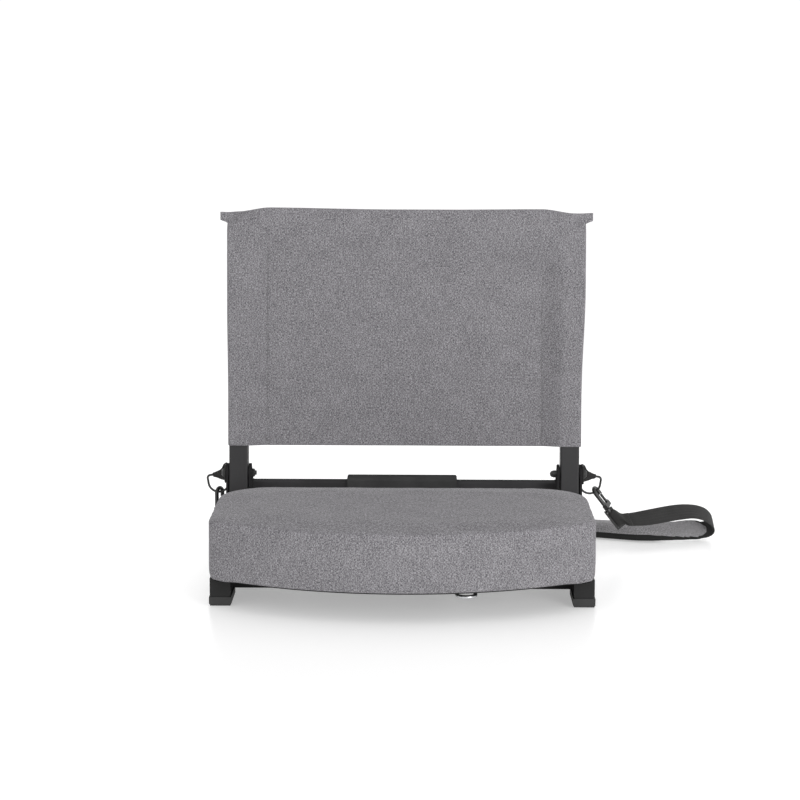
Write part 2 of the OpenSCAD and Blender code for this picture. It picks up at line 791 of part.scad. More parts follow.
// Swivel eye below the hook: a collar that the neck turns in, and a frame for the webbing
module eye_place(k) translate(HOOKS[k][0]) rotate([0, HOOKS[k][1], 0]) rotate([0, 0, eye_turns[k]]) children();

module swivel_eye(k) {
    foot = window_top - window_len - eye_foot;
    color("#1d1d1e") eye_place(k) difference() {
        union() {
            translate([0, 0, window_top]) cylinder(h = collar_h, d = 9);
            translate([-eye_w / 2, -eye_t / 2, foot]) cube([eye_w, eye_t, -0.8 - foot]);
        }
        translate([0, 0, window_top - 10]) cylinder(h = 20, d = neck_d + 2 * run_gap);
        translate([eye_bar - eye_w / 2, -5, window_top - window_len])
            cube([eye_w - 2 * eye_bar, 10, window_len]);
    }
}

// Strap: a flat band swept along a hand-chosen route. Each point is a place and the band's width direction.

strap_t = 1.6;
strap_mid = window_top - 0.3 - head_t - 0.2 - 12.3;
side_bar = (eye_w - eye_bar) / 2;

// A place in an eye's frame, x and y from the bar that holds the band, and the band's width there
function at_eye(k, x, y, drop = 0) =
    let (c = cos(eye_turns[k]), n = sin(eye_turns[k]))
    [
        HOOKS[k][0] + tilt_z(k) * (strap_mid + drop)
            + tilt_x(k) * (c * (side_bar + x) - n * y) + [0, n * (side_bar + x) + c * y, 0],
        -tilt_z(k)
    ];

// The band's run round the bar, from its front layer to its back layer
WRAP = [[0.5, -3.1], [-5.4, -2.95], [-7.15, -1.4], [-7.15, 1.4], [-5.4, 2.95], [0.5, 3.1]];

// Free run: place from the middle plane, the rail fronts and the floor, then the width direction
TAIL = [
    [[311, 299, 45.6], [3, -8, -6]],
    [[303, 298, 45.6], [4, -7, -5]]
];
RUN = [
    [[303, 302, 45], [4, -7, -5]],
    [[316, 302, 45.2], [3, -8, -6]],
    [[331, 306, 46.2], [3, -7, -7]],
    [[347, 314, 47.2], [3, -7, -8]],
    [[364, 324, 48.2], [3, -7, -8]],
    [[381, 333, 48.8], [3, -7, -8]],
    [[397, 342, 48], [3, -7, -7]],
    [[411, 351, 44.5], [2, -7, -7]],
    [[423, 361, 38], [1, -7, -7]],
    [[431, 371, 30], [1, -7, -7]],
    [[435, 378, 22], [1, -6, -7]],
    [[432, 383, 16], [0, -5, -8]],
    [[424, 385, 12.6], [0, -5, -9]],
    [[413, 384, 11.8], [0, -5, -8]],
    [[399, 382, 11], [0, -6, -7]],
    [[383, 380, 7.4], [0, -8, -4]],
    [[366, 379, 5.4], [0, -8, -2]],
    [[349, 380, 1.6], [0, -8, 0]],
    [[332, 382, 1.2], [0, -8, 0]],
    [[314, 387, 1.2], [0, -8, 0]],
    [[296, 393, 1.2], [0, -8, 0]],
    [[276, 399, 1.2], [0, -8, 0]],
    [[256, 404, 1.2], [0, -8, 0]],
    [[234, 408.5, 1.2], [0, -8, 0]],
    [[212, 411.5, 1.2], [0, -8, 0]],
    [[192, 413, 1.2], [0, -8, 0]],
    [[174, 414, 1.2], [0, -8, 0]],
    [[150, 415, 1.2], [0, -8, 0]],
    [[100, 417, 1.2], [0, -8, 0]],
    [[40, 417, 1.2], [0, -8, 0]],
    [[-20, 414, 1.2], [0, -8, 0]],
    [[-80, 408, 1.2], [0, -8, 0]],
    [[-130, 400, 1.5], [0, -8, 0]],
    [[-160, 394, 5.7], [2, -7, -3]],
    [[-186, 387, 10], [2, -5, -6]],
    [[-209, 378, 12.4], [1, -3, -8]],
    [[-229, 367, 15], [0, -1, -8]],
    [[-245, 355, 20], [0, 0, -8]],
    [[-256, 343, 28], [0, 0, -8]]
];

// The route keeps its place beside the rails: it is drawn for one frame width and spreads with the real one
route_frame_w = 475;
route_ends = 150;
function spread_x(x) = x + (frame_w - route_frame_w) / 2 * max(-1, min(1, x / route_ends));
function free_run(run) = [for (p = run) [[spread_x(p[0][0]), p[0][1] + rail_y, p[0][2]], p[1]]];
STRAP = concat(
    free_run(TAIL),
    [for (w = WRAP) at_eye(1, w[0], w[1])],
    free_run(RUN),
    [at_eye(0, 26, 2, -2), at_eye(0, 18, 2), at_eye(0, 8, 2), at_eye(0, 4, 2.5)],
    [for (k = [len(WRAP) - 1:-1:0]) at_eye(0, WRAP[k][0], WRAP[k][1])],
    [at_eye(0, 4, -2.5), at_eye(0, 8, -2), at_eye(0, 14, -2), at_eye(0, 21, -2)]
);

function unit(v) = v / norm(v);
function tangent(k, m) = unit(STRAP[min(k + 1, m - 1)][0] - STRAP[max(k - 1, 0)][0]);
// The width is squared to the run except near the right eye, where the band leaves its bar askew
function squared(k) = k < 11 ? 0 : min(1, (k - 10) / 4);

// The band's own directions at a point of its route: its run, its width and its upper face
function band_dirs(k) =
    let (
        along = tangent(k, len(STRAP)),
        raw = unit(STRAP[k][1]),
        across = unit(raw - along * (raw * along) * squared(k))
    )
    [across, unit(cross(along, across))];

// A closed solid through equal rings of points, with flat ends
module lofted(rings) {
    m = len(rings);
    n = len(rings[0]);
    walls = [for (k = [0:m - 2]) for (i = [0:n - 1])
        let (a = k * n + i, b = k * n + (i + 1) % n)
        each [[a, a + n, b + n], [a, b + n, b]]];
    caps = [[for (i = [0:n - 1]) i], [for (i = [n - 1:-1:0]) (m - 1) * n + i]];
    polyhedron([for (r = rings) each r], concat(walls, caps));
}

module strap_webbing() {
    half = web_w / 2 - 0.3;
    t = strap_t / 2;
    bevel = 0.8;
    section = [
        [-half, -t / 2], [bevel - half, -t], [half - bevel, -t], [half, -t / 2],
        [half, t / 2], [half - bevel, t], [bevel - half, t], [-half, t / 2]
    ];
    color("#2a2a29") lofted([for (k = [0:len(STRAP) - 1]) let (d = band_dirs(k))
        [for (s = section) STRAP[k][0] + d[0] * s[0] + d[1] * s[1]]]);
}

// Slide adjuster behind the left eye: a plate with a slot for each layer of the band
module strap_adjuster() {
    slot_w = web_w + 1;
    slot_t = strap_t + 0.8;
    color("#1d1d1e") eye_place(0) translate([side_bar + 12.5, 0, strap_mid]) difference() {
        cube([9, 2 * slot_t + 4, slot_w + 5], center = true);
        for (s = SIDES) translate([0, s * 2, 0]) cube([20, slot_t, slot_w], center = true);
    }
}

// Shoulder pad: a foam pad that rides on the band, with a groove for it underneath.
// Its half width and height at each point of the free run that it covers, from the first
pad_first = 20;
PAD = [
    [14, 7], [14, 12], [14.5, 15], [16, 18], [19, 19.5], [22.5, 20.5], [23, 20.5], [23, 20], [22.5, 20],
    [22, 20], [21.5, 19.5], [21, 19], [20.5, 18], [19, 15], [16, 9]
];

module shoulder_pad() {
    slot = web_w / 2 + 0.4;
    roof = strap_t / 2 + 0.35;
    low = 0.6 - strap_t / 2 - 0.5;
    color("#7e7c80") lofted([for (j = [0:len(PAD) - 1])
        let (
            k = pad_first + j,
            d = band_dirs(k),
            w = PAD[j][0],
            h = PAD[j][1],
            half = [[w - 1, low], [w, 1.2], [w, h * 0.34], [w * 0.95, h * 0.66], [w * 0.74, h * 0.9], [w * 0.4, h]],
            ring = concat(
                [[-slot, low], [-slot, roof], [slot, roof], [slot, low]], half,
                [for (i = [len(half) - 1:-1:0]) [-half[i][0], half[i][1]]]
            )
        )
        [for (q = ring) STRAP[k][0] + d[0] * q[0] + d[1] * q[1]]]);
}

// Bench hook: a rod bent to a hook, which turns in a swivel block pinned to a bracket on the front bar

module hook_bracket() {
    back = rail_y + front_bar_y;
    ear_x = swivel_w / 2 + bracket_gap;
    deep = back - rod_pivot_y + 5;
    color("#3a3a3b") difference() {
        union() {
            translate([rod_x - ear_x - ear_t, back - ear_t, rod_z - 8])
                cube([2 * (ear_x + ear_t), ear_t, 16]);
            for (s = SIDES) translate([s > 0 ? rod_x + ear_x : rod_x - ear_x - ear_t, back - deep, rod_z - 5])
                cube([ear_t, deep, 10]);
        }
        drill_x([0, rod_pivot_y, rod_z], 4, rod_x - 20, rod_x + 20);
    }
}

module hook_pin() {
    w = swivel_w / 2 + bracket_gap + ear_t;
    color("#8f9194") translate([rod_x - w, rod_pivot_y, rod_z]) along_x() {
        cylinder(h = 2 * w, d = 4);
        translate([0, 0, -1.6]) cylinder(h = 1.6, d = 7);
        translate([0, 0, 2 * w]) cylinder(h = 1.6, d = 7);
    }
}

module hook_swivel() {
    color("#8f9194") translate([rod_x, rod_pivot_y, rod_z]) difference() {
        union() {
            translate([-swivel_w / 2, 0, 0]) along_x() cylinder(h = swivel_w, r = swivel_r);
            translate([-swivel_w / 2, -swivel_len, -swivel_r]) cube([swivel_w, swivel_len, 2 * swivel_r]);
        }
        translate([-10, 0, 0]) along_x() cylinder(h = 20, d = 4 + 2 * run_gap);
        translate([-4.2, -window_y[1], -10]) cube([8.4, window_y[1] - window_y[0], 20]);
        translate([0, -window_y[0], 0]) rotate([90, 0, 0]) cylinder(h = 20, d = rod_d + 2 * run_gap);
    }
}

module bench_hook() {
    bend_y = rod_pivot_y - rod_len;
    head_t = window_y[1] - window_y[0] - 0.8;
    color("#c3c7ca") {
        translate([rod_x, rod_pivot_y - window_y[1] + 0.3, rod_z]) {
            rotate([90, 0, 0]) cylinder(h = rod_len - window_y[1] + 0.3, d = rod_d);
            rotate([-90, 0, 0]) cylinder(h = head_t, d = 7.6);
        }
        translate([rod_x + rod_bend, bend_y, rod_z]) rotate([0, 0, 180]) rotate_extrude(angle = 180)
            translate([rod_bend, 0]) circle(d = rod_d);
        translate([rod_x + 2 * rod_bend, bend_y, rod_z]) rotate([-90, 0, 0]) cylinder(h = rod_tip, d = rod_d);
    }
}

side_rail(-1);  // side_rail_left
side_rail(1);  // side_rail_right
rail_plugs(false);  // rail_plugs_front
rail_plugs(true);  // rail_plugs_rear
foot(-1, false);  // foot_front_left
foot(1, false);  // foot_front_right
foot(-1, true);  // foot_rear_left
foot(1, true);  // foot_rear_right
seat_bar(front_bar_y);  // front_crossbar
seat_bar(middle_bar_y);  // middle_crossbar
rear_crossbar();
handle_grip();
hinge_plate_outer(-1);  // hinge_plate_outer_left
hinge_plate_outer(1);  // hinge_plate_outer_right
hinge_plate_inner(-1);  // hinge_plate_inner_left
hinge_plate_inner(1);  // hinge_plate_inner_right
plate_bolts();
plate_nuts();
stop_pin(-1);  // stop_pin_left
stop_pin(1);  // stop_pin_right
pivot_bolt(-1);  // pivot_bolt_left
pivot_bolt(1);  // pivot_bolt_right
pivot_nut(-1);  // pivot_nut_left
pivot_nut(1);  // pivot_nut_right
pivot_spacers(-1);  // pivot_spacers_left
pivot_spacers(1);  // pivot_spacers_right
seat_board();
seat_foam();
seat_cover();
dust_cover();
seat_screws();
tee_nuts();
back_frame();
back_cover();
post_plug(-1);  // post_plug_left
post_plug(1);  // post_plug_right
ring_tab(-1);  // ring_tab_left
ring_tab(1);  // ring_tab_right
tab_washers();
d_ring(-1);  // d_ring_left
d_ring(1);  // d_ring_right
snap_hook(HOOKS[0]);  // snap_hook_left
snap_hook(HOOKS[1]);  // snap_hook_right
hook_gate(HOOKS[0]);  // hook_gate_left
hook_gate(HOOKS[1]);  // hook_gate_right
gate_lever(HOOKS[0]);  // gate_lever_left
gate_lever(HOOKS[1]);  // gate_lever_right
swivel_eye(0);  // swivel_eye_left
swivel_eye(1);  // swivel_eye_right
strap_webbing();
strap_adjuster();
shoulder_pad();
hook_bracket();
hook_pin();
hook_swivel();
bench_hook();
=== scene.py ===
"""Looks of the folding bleacher seat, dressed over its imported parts.

Shapes are worked out in millimetres, and MM turns them into metres.
"""

import json
import math

import bmesh
import bpy
import numpy as np
from mathutils import Matrix, Vector, noise


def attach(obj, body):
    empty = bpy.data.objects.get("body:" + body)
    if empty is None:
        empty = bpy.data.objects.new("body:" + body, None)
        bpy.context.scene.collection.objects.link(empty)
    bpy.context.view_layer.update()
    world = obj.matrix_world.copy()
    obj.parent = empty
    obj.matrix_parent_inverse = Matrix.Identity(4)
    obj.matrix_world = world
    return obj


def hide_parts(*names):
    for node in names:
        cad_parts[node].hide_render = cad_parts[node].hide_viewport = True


MM = 0.001
TINY = 1e-9
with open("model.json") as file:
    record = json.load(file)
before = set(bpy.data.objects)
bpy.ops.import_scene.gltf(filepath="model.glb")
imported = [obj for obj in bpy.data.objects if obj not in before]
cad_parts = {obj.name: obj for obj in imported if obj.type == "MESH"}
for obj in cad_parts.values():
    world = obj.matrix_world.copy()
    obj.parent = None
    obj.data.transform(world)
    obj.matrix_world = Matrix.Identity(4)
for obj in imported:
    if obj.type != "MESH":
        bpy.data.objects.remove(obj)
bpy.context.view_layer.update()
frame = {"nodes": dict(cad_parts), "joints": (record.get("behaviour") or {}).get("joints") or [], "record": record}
nodes = frame["nodes"]


# Camera, fitted to the photograph

def place_camera():
    focal_px, image_px, sensor = 2084.0, 800.0, 36.0
    yaw, pitch, roll = (math.radians(a) for a in (0.533, 9.131, 0.149))
    place = (0.0201, -2.6260, 0.6601)
    forward = Vector((-math.sin(yaw) * math.cos(pitch), math.cos(yaw) * math.cos(pitch), -math.sin(pitch)))
    level_right = Vector((math.cos(yaw), math.sin(yaw), 0))
    level_up = level_right.cross(forward)
    right = level_right * math.cos(roll) + level_up * math.sin(roll)
    up = level_up * math.cos(roll) - level_right * math.sin(roll)
    data = bpy.data.cameras.new("camera")
    data.sensor_fit = "HORIZONTAL"
    data.sensor_width = sensor
    data.lens = focal_px / image_px * sensor
    cam = bpy.data.objects.new("camera", data)
    bpy.context.scene.collection.objects.link(cam)
    turn = Matrix((right, up, -forward)).transposed().to_4x4()
    cam.matrix_world = Matrix.Translation(place) @ turn
    bpy.context.scene.camera = cam


place_camera()


# Mesh helpers

WELD_MM = 0.02
SHORTEST_EDGE = 1e-6


def smoothstep(x, a, b):
    t = np.clip((np.asarray(x, float) - a) / (b - a), 0, 1)
    return t * t * (3 - 2 * t)


def bell(x, width):
    """A smooth hump, 1 at x = 0 and nearly gone at twice the width."""
    return np.exp(-((x / width) ** 2))


def lengths(at):
    """Distance along a line of points, at each of them."""
    return np.concatenate([[0], np.cumsum(np.linalg.norm(np.diff(at, axis=0), axis=1))])


def grid(points, uv, wrap=False, flip=False):
    """Vertices, faces and face-corner UVs of a grid of points. A wrapped grid's UVs have one column more."""
    rows, cols = points.shape[:2]
    faces, corners = [], []
    for i in range(rows - 1):
        for j in range(cols if wrap else cols - 1):
            k = (j + 1) % cols
            face = [(i, j, j), (i, k, j + 1), (i + 1, k, j + 1), (i + 1, j, j)]
            if flip:
                face.reverse()
            faces.append([a * cols + b for a, b, _ in face])
            corners += [uv[a, c] for a, _, c in face]
    return points.reshape(-1, 3), faces, corners


def weld(name, parts, shades=None):
    """One mesh object from grids in millimetres, with points closer than WELD_MM joined.

    Shades are the faces' material numbers.
    """
    verts, faces, corners = [], [], []
    for p, f, c in parts:
        faces += [[i + len(verts) for i in face] for face in f]
        verts += [tuple(v * MM) for v in p]
        corners += [tuple(u) for u in c]
    mesh = bpy.data.meshes.new(name)
    mesh.from_pydata(verts, [], faces)
    if shades is not None:
        mesh.polygons.foreach_set("material_index", shades)
    layer = mesh.uv_layers.new(name="cloth")
    layer.data.foreach_set("uv", np.array(corners, np.float32).ravel())
    bm = bmesh.new()
    bm.from_mesh(mesh)
    bmesh.ops.remove_doubles(bm, verts=bm.verts, dist=WELD_MM * MM)
    bmesh.ops.dissolve_degenerate(bm, edges=bm.edges, dist=SHORTEST_EDGE)
    bm.to_mesh(mesh)
    bm.free()
    mesh.shade_smooth()
    return add(name, mesh)


def add(name, mesh):
    obj = bpy.data.objects.new(name, mesh)
    bpy.context.scene.collection.objects.link(obj)
    return obj


def coords(obj):
    co = np.zeros(len(obj.data.vertices) * 3)
    obj.data.vertices.foreach_get("co", co)
    return co.reshape(-1, 3)


def put_coords(obj, co):
    obj.data.vertices.foreach_set("co", np.asarray(co, np.float32).ravel())
    obj.data.update()


def finish_piece(obj, mats, body, smooth_levels=0):
    for m in mats:
        obj.data.materials.append(m)
    if smooth_levels:
        mod = obj.modifiers.new("smooth", "SUBSURF")
        mod.levels = mod.render_levels = smooth_levels
    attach(obj, body)


def ripple(co, scale, seed):
    """Smooth noise at each point, from -1 to 1. Each seed reads another part of it."""
    offset = Vector([seed * step for step in (7.3, 3.1, 1.7)])
    return np.array([noise.noise(Vector(p) * scale + offset) for p in co])


# Materials

# A colour Mix node has its sockets at these numbers
MIX_FACTOR, MIX_A, MIX_B, MIX_RESULT = 0, 6, 7, 2
# Most of a noise lies in this range
NOISE_LOW, NOISE_HIGH = 0.3, 0.7
THREAD_PITCH = 0.00055


class Nodes:
    """A material's node tree with short calls for what is used here. Lengths are in metres."""

    SOCKETS = {"color": "Base Color", "rough": "Roughness", "metal": "Metallic", "normal": "Normal",
               "sheen": "Sheen Weight", "sheen_rough": "Sheen Roughness", "shine": "Specular IOR Level",
               "glow": "Emission Color", "glow_strength": "Emission Strength"}

    def __init__(self, name):
        self.mat = bpy.data.materials.new(name)
        self.mat.use_nodes = True
        self.tree = self.mat.node_tree
        self.shader = self.tree.nodes["Principled BSDF"]

    def put(self, socket, value):
        if isinstance(value, bpy.types.NodeSocket):
            self.tree.links.new(value, socket)
        else:
            socket.default_value = value

    def new(self, kind, inputs=(), output=0, **settings):
        n = self.tree.nodes.new(kind)
        for k, v in settings.items():
            setattr(n, k, v)
        for k, v in dict(inputs).items():
            self.put(n.inputs[k], v)
        return n.outputs[output]

    def math(self, op, a, b=0.0, c=0.0):
        return self.new("ShaderNodeMath", {0: a, 1: b, 2: c}, operation=op)

    def place(self):
        return self.new("ShaderNodeTexCoord", output="Object")

    def scaled(self, vector, scale):
        return self.new("ShaderNodeMapping", {"Vector": vector, "Scale": scale})

    def noise(self, vector, scale=1.0, detail=2.0, rough=0.5):
        inputs = {"Vector": vector, "Scale": scale, "Detail": detail, "Roughness": rough}
        return self.new("ShaderNodeTexNoise", inputs)

    def spread(self, value, low, high, a, b):
        """The value's range from low to high becomes a to b."""
        return self.new("ShaderNodeMapRange", {0: value, 1: low, 2: high, 3: a, 4: b})

    def from_noise(self, value, a=0.0, b=1.0):
        """A noise's usual range becomes a to b."""
        return self.spread(value, NOISE_LOW, NOISE_HIGH, a, b)

    def blend(self, factor, a, b):
        inputs = {MIX_FACTOR: factor, MIX_A: a, MIX_B: b}
        return self.new("ShaderNodeMix", inputs, MIX_RESULT, data_type="RGBA")

    def bump(self, height, strength, distance):
        return self.new("ShaderNodeBump", {"Height": height, "Strength": strength, "Distance": distance})

    def set(self, **values):
        for k, v in values.items():
            self.put(self.shader.inputs[self.SOCKETS[k]], v)


def grey(v, r=1.0, g=1.0, b=1.0):
    return (v * r, v * g, v * b, 1.0)


def heather(name, light, dark, mid, strength=1.0, slubs=0.12, slub_scale=(560, 60, 1)):
    """Plain weave of two-tone yarns: each thread changes from light to dark every few millimetres."""
    warp_scale, weft_scale = (1350, 400, 1), (440, 1450, 1)
    warp_share, weft_share = 0.56, 0.44
    fine_step, large_step = 0.28, 0.06
    n = Nodes(name)
    cloth = n.new("ShaderNodeUVMap", uv_map="cloth")
    warp = n.noise(n.scaled(cloth, warp_scale), detail=1.5, rough=0.6)
    weft = n.noise(n.scaled(cloth, weft_scale), detail=1.5, rough=0.6)
    slub = n.noise(n.scaled(cloth, slub_scale), detail=1.0)
    fine = n.noise(cloth, 3000.0, detail=1.0)
    up = n.spread(warp, 0.4, 0.6, -0.1, 1.1)
    across = n.spread(weft, 0.4, 0.6, -0.1, 1.1)
    tone = n.math("ADD", n.math("MULTIPLY", up, warp_share * strength),
                  n.math("MULTIPLY", across, weft_share * strength))
    tone = n.math("ADD", tone, n.from_noise(slub, -slubs, slubs))
    tone = n.math("ADD", tone, n.spread(fine, 0.25, 0.75, -fine_step, fine_step))
    large = n.noise(cloth, 26.0, detail=3.0, rough=0.6)
    tone = n.math("ADD", tone, n.from_noise(large, -large_step, large_step))
    color = n.blend(n.spread(tone, 0.0, 0.5, 0.0, 1.0), dark, mid)
    color = n.blend(n.spread(tone, 0.5, 1.0, 0.0, 1.0), color, light)
    split = n.new("ShaderNodeSeparateXYZ", {0: cloth}).node
    turn = math.pi / THREAD_PITCH
    over = n.math("MULTIPLY", n.math("SINE", n.math("MULTIPLY", split.outputs[0], turn)),
                  n.math("SINE", n.math("MULTIPLY", split.outputs[1], turn)))
    height = n.math("ADD", n.math("MULTIPLY", n.math("ABSOLUTE", over), 0.6),
                    n.math("MULTIPLY", tone, 0.5))
    n.set(color=color, rough=0.9, shine=0.12, sheen=0.14, sheen_rough=0.35,
          normal=n.bump(height, 0.3, 0.0002))
    return n.mat


def powder_coat(name, tone, rough, shine):
    """A dull baked coat with a fine orange peel and a little dust."""
    n = Nodes(name)
    at = n.place()
    cloud = n.noise(at, 18.0, detail=3.0)
    peel = n.noise(at, 1400.0, detail=2.0)
    dust = n.noise(at, 260.0, detail=4.0, rough=0.7)
    dark, light = grey(tone * 0.9, 1.0, 0.98, 1.01), grey(tone * 1.12, 1.0, 0.98, 1.02)
    color = n.blend(n.from_noise(cloud), dark, light)
    color = n.blend(n.spread(dust, 0.62, 0.8, 0.0, 0.25), color, grey(tone * 1.9))
    n.set(color=color, rough=n.from_noise(cloud, rough - 0.05, rough + 0.07), shine=shine,
          normal=n.bump(peel, 0.22, 0.00012))
    return n.mat


def rubbery(name, tone, rough=0.72, pits=900.0, depth=0.0002, strength=0.3, shine=0.2):
    """Rubber, foam or plastic with fine pits."""
    n = Nodes(name)
    at = n.place()
    grain = n.noise(at, pits, detail=3.0, rough=0.6)
    cloud = n.noise(at, 35.0, detail=3.0)
    color = n.blend(n.from_noise(cloud), grey(tone * 0.86), grey(tone * 1.16))
    color = n.blend(n.spread(grain, 0.6, 0.75, 0, 0.3), color, grey(tone * 1.6))
    n.set(color=color, rough=n.from_noise(grain, rough - 0.08, rough + 0.08), shine=shine,
          normal=n.bump(grain, strength, depth))
    return n.mat


def metal(name, tone, rough):
    """Bare metal with a cool tint, brushed along its height."""
    tint, brushed = (1.0, 1.01, 1.03), (60, 60, 900)
    n = Nodes(name)
    at = n.place()
    lines = n.noise(n.scaled(at, brushed), detail=3.0, rough=0.6)
    cloud = n.noise(at, 55.0, detail=3.0)
    color = n.blend(n.from_noise(cloud), grey(tone * 0.85, *tint), grey(min(1, tone * 1.1), *tint))
    n.set(color=color, metal=1.0, rough=n.from_noise(lines, rough - 0.08, rough + 0.12),
          normal=n.bump(lines, 0.12, 0.00008))
    return n.mat


def coated_metal(name, tone, rough=0.33):
    """Black coated metal, worn lighter in small spots."""
    n = Nodes(name)
    at = n.place()
    cloud = n.noise(at, 140.0, detail=3.0)
    worn = n.noise(at, 420.0, detail=4.0, rough=0.7)
    color = n.blend(n.spread(worn, 0.64, 0.78, 0.0, 0.45), grey(tone), grey(0.16, 1.0, 1.0, 1.02))
    n.set(color=color, rough=n.from_noise(cloud, rough - 0.06, rough + 0.1), shine=0.6,
          normal=n.bump(cloud, 0.15, 0.00015))
    return n.mat


def web(name, tone, from_uv=True):
    """Woven webbing: fine ribs across, in a herringbone."""
    zigzag, rib_pitch = 0.0021, 0.00125
    n = Nodes(name)
    cloth = n.new("ShaderNodeUVMap", uv_map="cloth") if from_uv else n.place()
    split = n.new("ShaderNodeSeparateXYZ", {0: cloth}).node
    u, v = (split.outputs[0], split.outputs[1]) if from_uv else (split.outputs[2], split.outputs[1])
    zig = n.math("PINGPONG", u, zigzag)
    rib = n.math("SINE", n.math("MULTIPLY", n.math("ADD", v, zig), 2 * math.pi / rib_pitch))
    yarn = n.noise(n.scaled(cloth, (1600, 420, 900)), detail=2.0)
    cloud = n.noise(cloth, 70.0, detail=3.0)
    # The ribs' grooves are painted darker and their crests lighter, painted shade and highlight on the relief; the
    # yarn noise adds the yarn's own tone
    rib_shade_and_yarn_tone = n.math("ADD", n.spread(rib, -1, 1, 0, 0.6), n.from_noise(yarn, 0, 0.4))
    color = n.blend(rib_shade_and_yarn_tone, grey(tone * 0.6, 1.0, 0.99, 0.98), grey(tone * 1.5, 1.0, 0.98, 0.96))
    color = n.blend(n.spread(cloud, 0.35, 0.7, 0, 0.35), color, grey(tone * 1.7, 1.0, 0.98, 0.96))
    height = n.math("ADD", rib, n.math("MULTIPLY", yarn, 0.7))
    n.set(color=color, rough=0.75, shine=0.2, sheen=0.05, normal=n.bump(height, 0.5, 0.00025))
    return n.mat


def cloth_black(name, tone):
    """Thin black fleece, bonded in small dots."""
    n = Nodes(name)
    at = n.place()
    felt = n.noise(at, 700.0, detail=4.0, rough=0.7)
    dots = n.new("ShaderNodeTexVoronoi", {"Vector": at, "Scale": 330.0})
    color = n.blend(n.from_noise(felt), grey(tone * 0.7), grey(tone * 1.5))
    height = n.math("ADD", felt, n.spread(dots, 0.0, 0.3, 0.0, 0.6))
    n.set(color=color, rough=0.85, shine=0.3, normal=n.bump(height, 0.4, 0.0003))
    return n.mat


def plywood(name):
    """Long grain on the faces, and darker glue lines where the edge shows the plies."""
    ply_height = 0.003
    n = Nodes(name)
    at = n.place()
    grain = n.noise(n.scaled(at, (22, 260, 300)), detail=4.0, rough=0.6)
    split = n.new("ShaderNodeSeparateXYZ", {0: at}).node
    ply = n.math("SINE", n.math("MULTIPLY", split.outputs[2], 2 * math.pi / ply_height))
    color = n.blend(n.from_noise(grain), (0.36, 0.21, 0.1, 1), (0.5, 0.33, 0.17, 1))
    color = n.blend(n.spread(ply, -0.2, 0.2, 0.0, 0.35), color, (0.22, 0.12, 0.06, 1))
    n.set(color=color, rough=0.75, normal=n.bump(grain, 0.3, 0.0003))
    return n.mat


def foam_look(name):
    """Open yellow foam: pale cell walls round sunken pores, darkened in the pores by painted shade."""
    n = Nodes(name)
    cells = n.new("ShaderNodeTexVoronoi", {"Vector": n.place(), "Scale": 900.0})
    # Dark at the pores' middles and pale at the walls: painted shade in the pores
    color = n.blend(n.spread(cells, 0.0, 0.6, 0, 1), (0.42, 0.37, 0.24, 1), (0.72, 0.66, 0.47, 1))
    n.set(color=color, rough=0.95, normal=n.bump(cells, 0.6, 0.0006))
    return n.mat


GREY_LIGHT = grey(0.37, 1.0, 0.975, 1.02)
GREY_MID = grey(0.195, 1.0, 0.97, 1.03)
GREY_DARK = grey(0.075, 1.0, 0.96, 1.05)
weave = heather("grey_weave", GREY_LIGHT, GREY_DARK, GREY_MID)
# The cushion's top is the same cloth as its sides, with a darker middle grey: painted shade on the top
TOP_MID_SHADED = grey(0.175, 1.0, 0.97, 1.03)
shaded_top_weave = heather("shaded_top_weave", GREY_LIGHT, GREY_DARK, TOP_MID_SHADED, slubs=0.17, slub_scale=(300, 150, 1))
PAD_LIGHT, PAD_MID, PAD_DARK = (grey(v, 1.0, 0.98, 1.01) for v in (0.37, 0.25, 0.13))
pad_weave = heather("pad_weave", PAD_LIGHT, PAD_DARK, PAD_MID, strength=0.9)
thread = rubbery("thread", 0.2, rough=0.8, pits=2500.0)
LOOKS = {
    "frame_steel": powder_coat("frame_steel", 0.024, rough=0.6, shine=0.0),
    "post_steel": powder_coat("post_steel", 0.036, rough=0.5, shine=0.22),
    "foot_rubber": rubbery("foot_rubber", 0.044),
    "plug_plastic": rubbery("plug_plastic", 0.018, rough=0.5, pits=1300.0),
    "grip_foam": rubbery("grip_foam", 0.05, rough=0.85, pits=1500.0, depth=0.0004, strength=0.5, shine=0.0),
    "black_hardware": coated_metal("black_hardware", 0.02),
    "nylon": rubbery("nylon", 0.012, rough=0.4, pits=600.0),
    "plywood": plywood("plywood"),
    "foam": foam_look("foam"),
    "grey_weave": weave,
    "black_cloth": cloth_black("black_cloth", 0.012),
    "zinc": metal("zinc", 0.62, rough=0.28),
    "webbing": web("webbing", 0.025),
    "clip_metal": coated_metal("clip_metal", 0.011, rough=0.3),
    "gate_metal": metal("gate_metal", 0.12, rough=0.4),
    "spring_steel": metal("spring_steel", 0.72, rough=0.22),
    "grip_weave": pad_weave,
}
tab_look = web("tab_webbing", 0.02, from_uv=False)
slot_of = {s["node"]: s["material_slot"] for s in frame["record"]["subparts"]}
for name, obj in nodes.items():
    obj.data.materials.clear()
    obj.data.materials.append(LOOKS[slot_of[name]])
# The bar behind the cushion gets a lighter copy of the rails' frame steel: painted light on the same steel
nodes["rear_crossbar"].data.materials[0] = powder_coat("painted_light_bar_steel", 0.047, rough=0.6, shine=0.0)


# Strap: the route of the band, as in part.scad

